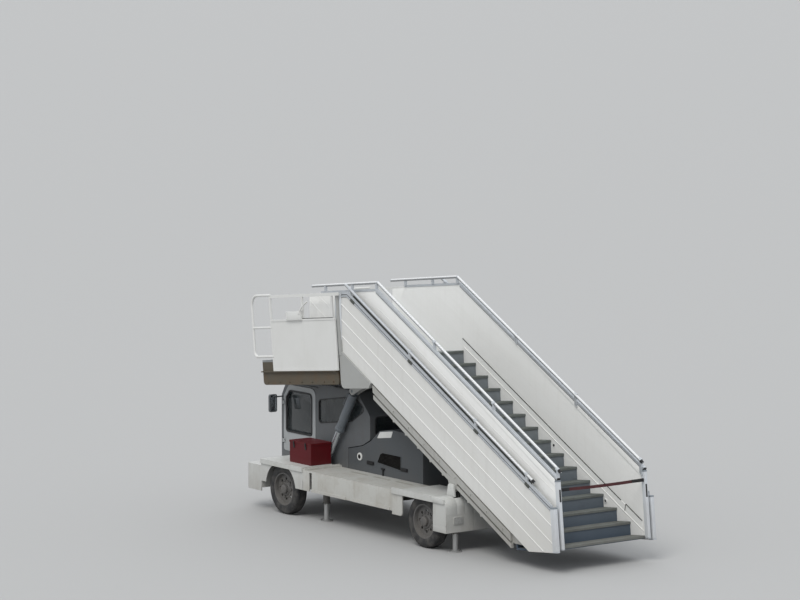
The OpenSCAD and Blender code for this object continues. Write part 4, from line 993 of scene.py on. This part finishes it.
# Painted light: the same plank paint made lighter, for the upper panels whose faces lie in shade and for
# the raised joints.
plank_painted_lit = planked("plank_painted_lit", (0.84, 0.838, 0.815), (0.50, 0.475, 0.43), 0.09)
dress(plank_white, "lower_panels")
dress(plank_painted_lit, "upper_panels")


def along_slope(a0, a1, d):
    """The two ends of a line that follows the nose line at a height above it."""
    return [(a0, nose(a0) + d), (a1, nose(a1) + d)]


def strip(points, y, outline):
    """A strip carried along points of the side view, at a distance from the middle."""
    return carried(outline, [(a, y, b) for a, b in points])


outer_y, clear_half = 0.900, 0.770
rail_face, tube_y, tube_r, tube_up = outer_y + 0.008, clear_half - 0.025, 0.0214, 0.697
lower_end, lower_up = 4.850, 0.530
joint_ribs, joint_shadow_lines = [], []
joint_rib = rounded(rect(-0.001, 0.0058, -0.0075, 0.0075), 0.002, 3)
for d in (-0.190, 0.065, 0.315):
    start_a = max(0.092, first_nose[0] + (0.012 - d - first_nose[1]) * going / rise)
    joint_ribs.append(strip(along_slope(start_a, lower_end - 0.002, d), outer_y, joint_rib))
    # Painted shadow: a grey strip just below each raised joint.
    joint_shadow_lines.append(strip(along_slope(start_a, lower_end - 0.002, d - 0.0110), outer_y,
                             rect(-0.0006, 0.0010, -0.0035, 0.0035)))
flight_pair("lower_joint_ribs", joint_ribs, "lower_flight", plank_painted_lit)
joint_shadow_grey = rubber("joint_shadow_paint", (0.30, 0.295, 0.28), 0.8, 90, 0.3)
flight_pair("lower_joint_shadow_lines", joint_shadow_lines, "lower_flight", joint_shadow_grey)


# Upper edge of the lower flight: an anodised aluminium rail with a T-slot, so its outer face has two
# ribs and a slot between them. The dark strips in the slot and along the rail's foot are painted
# shade, and so is a dark grey band set back between the rail's top and the handrail tube. The CAD
# rail carries it.
anodised = bare_metal("anodised", (0.56, 0.585, 0.61), 0.34, (0.06, 1, 1), (0.22, 0.20, 0.17), 0.25, 0.5)
dress(anodised, "lower_handrails", "upper_handrails")
top_b = 3.675


def rail_line(d):
    """The line of the lower rail at a height above its foot: up the slope, then level to its end."""
    level = top_b + d
    bend = first_nose[0] + (level - d - lower_up - first_nose[1]) * going / rise - d * math.tan(slope / 2)
    return [(0.092, nose(0.092) + lower_up + d / math.cos(slope)),
            (bend, nose(bend) + lower_up + d / math.cos(slope)), (lower_end - 0.001, level)]


rib = rounded(rect(-0.001, 0.0042, -0.0055, 0.0055), 0.0012, 3)
rail_ribs = [strip(rail_line(d), rail_face, rib) for d in (0.006, 0.021, 0.044, 0.053)]
rail_ribs.append(strip(rail_line(0.058), rail_face, rect(-0.0045, -0.0002, -0.001, 0.0215)))
flight_pair("lower_rail_ribs", rail_ribs, "lower_flight", anodised)
# Painted shade: a dark grey band set back between the rail's top and the handrail tube, in the gap between
# the flights.
shade_band_line = [(a, nose(a) + 0.600) for a in (0.520, 4.540)]
shade_strip_grey = rubber("shade_strip_grey", (0.085, 0.090, 0.078), 0.9, 300, 0.35, 0.2)
flight_pair("lower_rail_shade_bands", [strip(shade_band_line, 0.861, rect(0, 0.0045, -0.001, 0.0450))],
            "lower_flight", shade_strip_grey)
# Polished tube metal; its faces that look down are darkened to a blue-grey as painted shade.
rail_bright = bare_metal("rail_bright", (0.86, 0.865, 0.86), 0.22, (0.06, 1, 1), (0.14, 0.145, 0.155), 0.10,
                         0.6, 0.7)
lower_tube = [(a, outer_y, nose(a) + tube_up) for a in (0.430, 4.6575)]
flight_pair("lower_handrail_tubes", [carried(circle(tube_r, 20), lower_tube)], "lower_flight",
            rail_bright)
# Painted shade: dark strips in the T-slot and along the rail's foot.
rail_slot_shades = [strip(rail_line(0.0325), rail_face, rect(-0.001, 0.0010, -0.0048, 0.0048)),
         strip(rail_line(-0.001), outer_y + 0.0072, rect(-0.001, 0.0016, -0.0030, 0.0018))]
flight_pair("lower_rail_slot_shades", rail_slot_shades, "lower_flight", seal_black)


# Handrail clamps and end caps: grey cast blocks, bolted through, hold the round handrail's brackets on
# the rail's outer face; a black cap closes each tube.
def clamp(a, d, y):
    """A rounded block along the slope, with a bolt at its middle."""
    corners = [(a + s * 0.046 - k * 0.016, nose(a) + d + s * 0.031 + k * 0.019)
               for s, k in ((-1, -1), (1, -1), (1, 1), (-1, 1))]
    return [plate(rounded(corners, 0.014, 5), y, y + 0.013, 0.005),
            repeated(bolt(1, 1, 0.013), [(a, y + 0.010, nose(a) + d)])]


def tube_cap(a, b, y, r=0.021):
    """A domed cap over a tube's lower end, carried a little way up the slope."""
    run = np.array([math.cos(slope), 0, math.sin(slope)])
    end = np.array([a, y, b])
    at = np.array([0.034, 0.032, -0.004, -0.013, -0.019, -0.0215])
    return carried(circle(r, 20), end + at[:, None] * run, size=[1.02, 1.09, 1.09, 0.96, 0.62, 0.12])


lower_clamps = [part for a in (0.566, 1.666, 3.146, 4.500) for part in clamp(a, 0.556, rail_face)]
clamp_grey = painted_sheet("clamp_grey", (0.085, 0.092, 0.083), (0.035, 0.033, 0.028), 0.5, 0.4, 4.0, 0.002,
                           (0.22, 0.23, 0.22), 0.3)
flight_pair("lower_rail_clamps", lower_clamps, "lower_flight", clamp_grey)
caps = [tube_cap(0.426, nose(0.426) + tube_up, outer_y)]
flight_pair("lower_tube_caps", caps, "lower_flight", plastic_black)


# End posts of both flights: square tubes sleeved in pale paint, with screws down the outer side and
# a moulded cap on top.
post_pale = painted_sheet("post_pale", (0.60, 0.625, 0.65), (0.26, 0.235, 0.20), 0.22, 0.32, 2.5, 0.004)
cap_grey = rubber("cap_grey", (0.20, 0.225, 0.25), 0.5, 90, 0.2)


def sleeve(a1, y0, y1, b0, b1, t=0.0016):
    """A thin tube round a post, from b0 to b1, proud of it by the sheet's thickness."""
    outline = rounded(rect(y0 - t, y1 + t, -(a1 + t), t), 0.006, 4)
    return carried(outline, [(0, 0, b0), (0, 0, b1)], side=(0, 1, 0))


def post_cap(a1, y0, y1, b):
    """A low moulded cap: four rings that narrow to a crown."""
    outline = rounded(rect(-0.003, a1 + 0.005, y0 - 0.005, y1 + 0.005), 0.008, 4)
    middle = outline.mean(0)
    rings = np.array([(1.0, 0.0), (1.0, 0.014), (0.93, 0.020), (0.70, 0.023), (0.05, 0.024)])
    flat = middle + (outline - middle)[None] * rings[:, 0][:, None, None]
    points = np.concatenate([flat, np.broadcast_to(b + rings[:, 1][:, None, None], flat.shape[:2] + (1,))],
                            -1)
    n = len(outline)
    return points.reshape(-1, 3), [net(5, n), np.arange(n)[None, ::-1], np.arange(n)[None] + 4 * n]


lower_post = [sleeve(0.090, 0.852, 0.908, 0.020, 0.611),
              repeated(screw(1, 1, 0.005), [(0.045, 0.9096, b) for b in (0.06, 0.075, 0.56, 0.585)]),
              repeated(screw(0, -1, 0.005), [(-0.0016, 0.880, b) for b in (0.10, 0.32, 0.54)])]
flight_pair("lower_posts", lower_post, "lower_flight", post_pale)
flight_pair("lower_post_caps", [post_cap(0.090, 0.852, 0.908, 0.6125)], "lower_flight",
            cap_grey)
upper_post = [sleeve(0.070, 0.762, 0.808, 0.045, 0.979),
              repeated(screw(1, 1, 0.005), [(0.035, 0.8096, b) for b in (0.94, 0.955)]),
              repeated(screw(0, -1, 0.005), [(-0.0016, 0.785, b) for b in (0.10, 0.36, 0.62)])]
flight_pair("upper_posts", upper_post, "upper_flight", post_pale)
flight_pair("upper_post_caps", [post_cap(0.070, 0.762, 0.808, 0.981)], "upper_flight",
            cap_grey)
plates = [pad(y0, y0 + 0.028, b0, b1, 0.004, -0.0052, -0.0012, 0.0012, 0)
          for y0, b0, b1 in ((0.774, 0.700, 0.872), (-0.793, 0.622, 0.806))]
flight_piece("post_rubber_plates", plates, "upper_flight", seal_black)


# Steps: folded aluminium sheet in blue-grey paint. Every tread has a ribbed plate, and its nosing a
# grey-green grit band with fine grooves. Below 1.6 m the blue-grey is mixed towards a dark blue, more
# so lower down: painted shade on the lower steps.
# Painted shade: the last three numbers mix in a dark blue from 1.6 m down, up to nine tenths near the
# ground.
step_blue = painted_sheet("step_blue", (0.180, 0.200, 0.213), (0.12, 0.118, 0.11), 0.35, 0.5, 2.2, 0.002,
                          (0.32, 0.34, 0.35), 0.4, (0.030, 0.050, 0.078), 1.6, 0.9)
dress(step_blue, "lower_steps", "upper_steps")
tread_grey = painted_sheet("tread_grey", (0.118, 0.130, 0.122), (0.055, 0.052, 0.045), 0.5, 0.7, 3.0, 0.001,
                           (0.22, 0.225, 0.21), 0.3)


def ribbed(a0, a1, b, half, pitch=0.0125, low=0.0008, high=0.0026):
    """A tread plate: a saw of square ribs along the flight, carried across its width."""
    count = int((a1 - a0 - 0.004) / pitch)
    start = a0 + 0.004 + np.arange(count)[:, None] * pitch
    tops = np.stack([start, start + 0.001, start + pitch * 0.5, start + pitch * 0.5 + 0.001],
                    -1).reshape(-1)
    levels_up = np.tile([low, high, high, low], count)
    a = np.concatenate([[a0], tops, [a1, a1, a0]])
    up = np.concatenate([[low], levels_up, [low, -0.0004, -0.0004]])
    return carried(np.stack([-a, b + up], 1), [(0, -half, 0), (0, half, 0)], side=(-1, 0, 0))


def nosing_band(a, b, half):
    """The grit band that wraps a nosing: an L of fine grooves over its front and top."""
    down = np.linspace(0.034, 0.004, 9)
    front = np.stack([np.where(np.arange(9) % 2, -0.0138, -0.0128), -down], 1)
    top = np.stack([np.linspace(-0.009, 0.042, 13), np.where(np.arange(13) % 2, 0.0024, 0.0014)], 1)
    inner = [(0.0425, 0.0006), (-0.0085, 0.0006), (-0.0114, -0.0030), (-0.0114, -0.0345)]
    outline = np.concatenate([front, top, inner]) + (a, b)
    return carried(outline * (-1, 1), [(0, -half, 0), (0, half, 0)], side=(-1, 0, 0))


for flight, first, count, half in (("upper", (0.106, 0.070), 14, 0.762),
                                   ("lower", (0.670, 0.032), 14, 0.846)):
    treads, bands = [], []
    for i in range(count):
        a, b = first[0] + i * going, first[1] + i * rise
        bands.append(nosing_band(a, b, half))
        treads.append(ribbed(a + 0.046, a + going - 0.003, b, half))
    if flight == "upper":
        bands.append(nosing_band(first[0] + count * going, first[1] + count * rise, half))
    flight_piece(f"{flight}_treads", treads, f"{flight}_flight", tread_grey, 20)
    flight_piece(f"{flight}_nosings", bands, f"{flight}_flight", tread_grey, 20)


# Stringers and teeth below the lower flight: galvanised sheet gone grey, dirty and streaked.
stringer_grey = painted_sheet("stringer_grey", (0.38, 0.378, 0.355), (0.15, 0.135, 0.11), 0.36, 0.45, 2.0,
                              0.002)
dress(stringer_grey, "lower_stringers")
sling = [(a, nose(a) - 0.5175) for a in np.arange(1.20, 4.00, 0.35)]
stringer_bolts = [repeated(bolt(1, 1, 0.017), [(a, outer_y - 0.001, b) for a, b in sling])]
flight_pair("stringer_bolts", stringer_bolts, "lower_flight", stringer_grey)
# Painted shade: a dark strip in the recessed gap between the two outer stringer strips.
gap_shade_line = [strip(along_slope(1.16, 4.12, -0.5905), 0.8605, rect(-0.0005, 0.0012, -0.0150, 0.0150))]
flight_pair("stringer_gap_shades", gap_shade_line, "lower_flight", shade_strip_grey)
tooth = np.array([(0, 0), (0.004, 0.062), (-0.088, 0.001)])
teeth = [plate(rounded(tooth + (a, nose(a) - 0.707), [0.012, 0.001, 0.001], 4), 0.8865, 0.8945, 0.002)
         for a in 1.720 + np.arange(8) * going]
flight_pair("stringer_teeth", teeth, "lower_flight", stringer_grey)
foot_line = rounded([(1.045, 0.270), (0.800, 0.104), (0.795, 0.075), (0.990, 0.095), (1.045, 0.110)],
                    0.008, 4)
flight_pair("foot_brackets", [plate(foot_line, 0.8505, 0.8595)], "lower_flight",
            stringer_grey)


# Head box of the lower flight: folded sheet in a light grey.
head_light = painted_sheet("head_light", (0.345, 0.35, 0.338), (0.24, 0.22, 0.18), 0.2, 0.32, 1.6, 0.004,
                           (0.55, 0.55, 0.54))
dress(head_light, "lower_head")


# Inner skirting: a black strip along the top of the skirting beside the steps is painted shade, the
# shadow line at the skirting's top edge. With it are a short dark guide profile near the foot, a step
# lamp in a white collar and a rubber stop above it.
inner_y = clear_half - 0.004
edge_strip = rect(-0.0052, 0.0, -0.0050, 0.0050)
guide = [(0.120, 0.282), (0.448, 0.504), (0.460, 0.500), (0.486, 0.415)]
shade_and_guide_strips = [strip([(0.56, nose(0.56) + 0.1865), (4.050, nose(4.050) + 0.1865)], inner_y + 0.001, edge_strip),
        strip(guide, inner_y + 0.001, edge_strip)]
flight_pair("skirting_shade_and_guide_strips", shade_and_guide_strips, "upper_flight", seal_black)
# In the lighter plank paint, which is painted light.
ledge = strip(along_slope(0.10, 4.03, 0.068), inner_y,
              rounded(rect(-0.007, 0.001, -0.0045, 0.0045), 0.002, 3))
flight_pair("skirting_ledges", [ledge], "upper_flight", plank_painted_lit)
lamp_a, lamp_b = 0.905, 0.543
step_lamp = [turned(np.array([(0.0, 0.037), (-0.006, 0.037), (-0.010, 0.033), (-0.010, 0.021),
                              (-0.005, 0.019), (0.0, 0.019)]), (lamp_a, inner_y, lamp_b), 1, 28,
                    close=True)]
flight_pair("step_lamp_collars", step_lamp, "upper_flight", fitting_white)
stops = [turned([(0.0, 0.0185), (-0.006, 0.0185), (-0.008, 0.015), (-0.0085, 0.002)],
                (lamp_a, inner_y, lamp_b), 1, 20),
         turned([(0.0, 0.018), (-0.010, 0.018), (-0.014, 0.013), (-0.0145, 0.003)],
                (2.010, clear_half, 1.330), 1, 20)]
flight_pair("rubber_stops", stops, "upper_flight", plastic_black)


# Upper flight's top edge: a slotted aluminium rail on the upper side panels, which run up to it in the
# same white planks, in the lighter plank paint that is painted light. A dark line along the foot of the
# rail on both faces is painted shade. The round inner handrail is polished and closed by a black cap.
edge_low, land, land_panel, post_a = 0.921, (4.054, 2.744), 0.996, 0.070
edge_slope = (land[1] + land_panel - edge_low) / (land[0] - post_a)
panel_mid, edge_d = clear_half + 0.015, 0.987
meets = (edge_low - post_a * edge_slope - nose(0) - edge_d) / (rise / going - edge_slope)
wedge_a = post_a + 0.0015
wedge = [(wedge_a, edge_low - 0.003), (meets, nose(meets) + edge_d), (wedge_a, nose(wedge_a) + edge_d)]
flight_pair("upper_panel_edges", [plate(wedge, panel_mid - 0.0242, panel_mid + 0.0242, 0.0008)],
            "upper_flight", plank_painted_lit)
rail_half = [(0.0255, 0), (0.0255, 0.012), (0.0225, 0.0125), (0.0225, 0.0165), (0.0255, 0.017),
             (0.0255, 0.036), (0.0215, 0.0397)]
rail_section = np.array(rail_half + [(-u, v) for u, v in rail_half[::-1]])
upper_rail = strip(along_slope(0.030, land[0] - 0.020, edge_d), panel_mid, rail_section)
flight_pair("upper_rails", [upper_rail], "upper_flight", anodised)
upper_shade_lines = [strip(along_slope(0.030, land[0] - 0.021, edge_d), panel_mid + side * 0.0245,
                     rect(-0.002, 0.002, -0.003, 0.003)) for side in (-1, 1)]
end_plug = carried(rounded(rect(-0.024, 0.024, 0.002, 0.038), 0.004, 3),
                   [(a, panel_mid, nose(a) + edge_d) for a in (0.018, 0.032)])
flight_pair("upper_rail_shade_lines_and_plug", upper_shade_lines + [end_plug], "upper_flight", seal_black)
upper_tube = [(a, tube_y, b) for a, b in ((0.018, 1.1214), (land[0], 3.862), (5.7545, 3.855))]
flight_pair("upper_handrail_tubes", [carried(circle(tube_r, 20), upper_tube)], "upper_flight",
            rail_bright)
flight_pair("upper_tube_caps", [tube_cap(0.013, 1.118, tube_y)], "upper_flight",
            plastic_black)


# Landing's side panels: the planks run on beside the landing up to an upright front edge, with their
# raised joints; a pale folded post closes the end of each lower panel.
wing = [(5.605, 2.7455), (5.887, 2.7455), (5.781, 3.7245), (5.460, 3.7245), (5.605, 3.5140)]
wing_joints = [strip(along_slope(a0, a1, d), clear_half + 0.0285, joint_rib * (0.8, 0.8))
               for a0, a1, d in ((4.975, 5.785, -0.275), (4.975, 5.560, -0.043), (4.975, 5.215, 0.190))]
# In the lighter plank paint, which is painted light.
flight_pair("landing_side_panels", [plate(wing, clear_half + 0.0015, clear_half + 0.0285, 0.001)]
            + wing_joints, "upper_flight", plank_painted_lit)
end_post = [(4.790, 3.738), (4.945, 3.738), (5.020, 2.840), (4.866, 2.840)]
flight_pair("lower_end_posts", [plate(rounded(end_post, 0.004, 3), outer_y + 0.0005, 0.9130, 0.003)],
            "lower_flight", post_pale)


# Landing: a floor of ribbed aluminium planks in grey paint. The beams below it are folded steel in a
# brown-grey primer with rust at the seams.
floor_grey = painted_sheet("floor_grey", (0.27, 0.285, 0.29), (0.12, 0.11, 0.10), 0.4, 0.6, 2.0)
dress(floor_grey, "platform_floor")
planks = [ribbed(a, a + 0.30, land[1], 0.762, 0.020, 0.0006, 0.0022) for a in np.arange(4.12, 4.70, 0.304)]
planks += [ribbed(a, a + 0.30, land[1], 0.915, 0.020, 0.0006, 0.0022) for a in np.arange(4.99, 6.60, 0.304)]
flight_piece("landing_planks", planks, "upper_flight", floor_grey, 20)
beam_brown = painted_sheet("beam_brown", (0.078, 0.066, 0.045), (0.13, 0.068, 0.03), 0.55, 0.6, 2.2, 0.003,
                           (0.22, 0.20, 0.17))
dress(beam_brown, "platform_frame")
beam_bolts = [repeated(bolt(1, 1, 0.017),
                       [(a, 0.925, 2.40) for a in (5.10, 5.35, 5.67, 5.95, 6.28, 6.55, 6.86)])]
flight_pair("beam_bolts", beam_bolts, "upper_flight", beam_brown)


# Sliding guards: folded white panels under an open window, with a rubber strip along the top edge,
# and a control box with its lever on the left one. The hoop at the front is welded tube.
guard_white = painted_sheet("guard_white", (0.66, 0.66, 0.64), (0.36, 0.335, 0.29), 0.12, 0.32, 1.2, 0.004,
                            (0.76, 0.76, 0.74))
dress(guard_white, "guard_left", "guard_right")
guard_out = 0.965
for hand, s in hands:
    rubber_edge = [carried(rounded(rect(-0.007, 0.007, -0.005, 0.006), 0.003, 3),
                           [(4.955, s * (guard_out + 0.001), 3.374),
                            (5.760, s * (guard_out + 0.001), 3.374)])]
    flight_piece(f"guard_rubber_{hand}", rubber_edge, f"guard_{hand}", seal_black)
    corner_screws = [repeated(screw(1, s, 0.006),
                              [(a, s * (guard_out + 0.007), b) for a in (4.96, 5.40, 5.84, 6.28, 6.59)
                               for b in (2.591, 3.356)])]
    flight_piece(f"guard_screws_{hand}", corner_screws, f"guard_{hand}", guard_white)
lever = [carried(rect(-0.006, 0.006, -0.011, 0.011),
                 [(5.80, 1.002, 3.47), (5.72, 1.006, 3.55), (5.62, 1.006, 3.60)]),
         carried(circle(0.013), [(5.66, 1.006, 3.582), (5.645, 1.006, 3.590), (5.57, 1.006, 3.624),
                                 (5.558, 1.006, 3.630)], size=[0.7, 1, 1, 0.6]),
         turned([(0.997, 0.024), (1.008, 0.024), (1.012, 0.018), (1.012, 0.004)], (5.80, 0, 3.465), 1, 20)]
flight_piece("guard_lever", lever, "guard_left", fitting_white)
box_lid = [pad(5.772, 6.163, 3.357, 3.483, 0.012, 0.9965, 1.0015, 0.002),
           repeated(screw(1, 1, 0.005), [(a, 1.0015, b) for a in (5.79, 6.145) for b in (3.372, 3.468)])]
flight_piece("control_box_lid", box_lid, "guard_left", guard_white)


# Entry strap: dark red webbing drawn from a black reel on the near post to a black clip on the far
# one. It is a flat woven sheet that stands for the CAD strap.
def webbing(name, colour):
    """Woven webbing: crossed waves for the weave in the bump and colour, and soft fading."""
    s = Surface(name)
    weave = []
    for direction in ("Y", "Z"):
        wave = s.nodes.new("ShaderNodeTexWave")
        wave.bands_direction = direction
        wave.inputs["Scale"].default_value = 95
        s.link(s.place, wave.inputs["Vector"])
        weave.append(wave.outputs["Fac"])
    cross = s.nodes.new("ShaderNodeMath")
    cross.operation = "MULTIPLY"
    s.link(weave[0], cross.inputs[0])
    s.link(weave[1], cross.inputs[1])
    faded = s.clouds(6, 4)
    tone = s.blended(s.levels(faded, 0.35, 0.75, 0, 0.5), colour, (0.13, 0.035, 0.035))
    tone = s.blended(s.levels(cross.outputs[0], 0, 1, 0.35, 0), tone, (0.03, 0.008, 0.01))
    s.feed("Base Color", tone)
    s.feed("Roughness", 0.85)
    s.bumped(cross.outputs[0], 0.4, 0.001)
    return s.mat


strap_red = webbing("strap_red", (0.062, 0.013, 0.015))
strap_half, strap_sag, strap_a, strap_b = 0.755, 0.012, 0.023, 0.8675
across = np.linspace(-strap_half, strap_half, 61)
sag = -strap_sag * (1 - (across / strap_half) ** 2)
strap_path = np.stack([np.full_like(across, strap_a), across, strap_b + sag], 1)
strap_outline = rect(-0.0010, 0.0010, -0.022, 0.022)
strap = flight_piece("strap_webbing", [carried(strap_outline, strap_path, side=(1, 0, 0))], "upper_flight",
                     strap_red)
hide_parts("entry_strap")
reel = [turned([(0.842, 0.030), (0.845, 0.033), (0.890, 0.033), (0.893, 0.030)], (0.036, 0.748, 0), 2, 24),
        pad(0.718, 0.752, 0.842, 0.893, 0.006, 0.016, 0.030, 0.003, 0),
        pad(-0.762, -0.535, 0.840, 0.886, 0.008, 0.018, 0.028, 0.002, 0),
        pad(0.600, 0.716, 0.840, 0.888, 0.006, 0.018, 0.028, 0.002, 0)]
flight_piece("strap_reel", reel, "upper_flight", plastic_black)
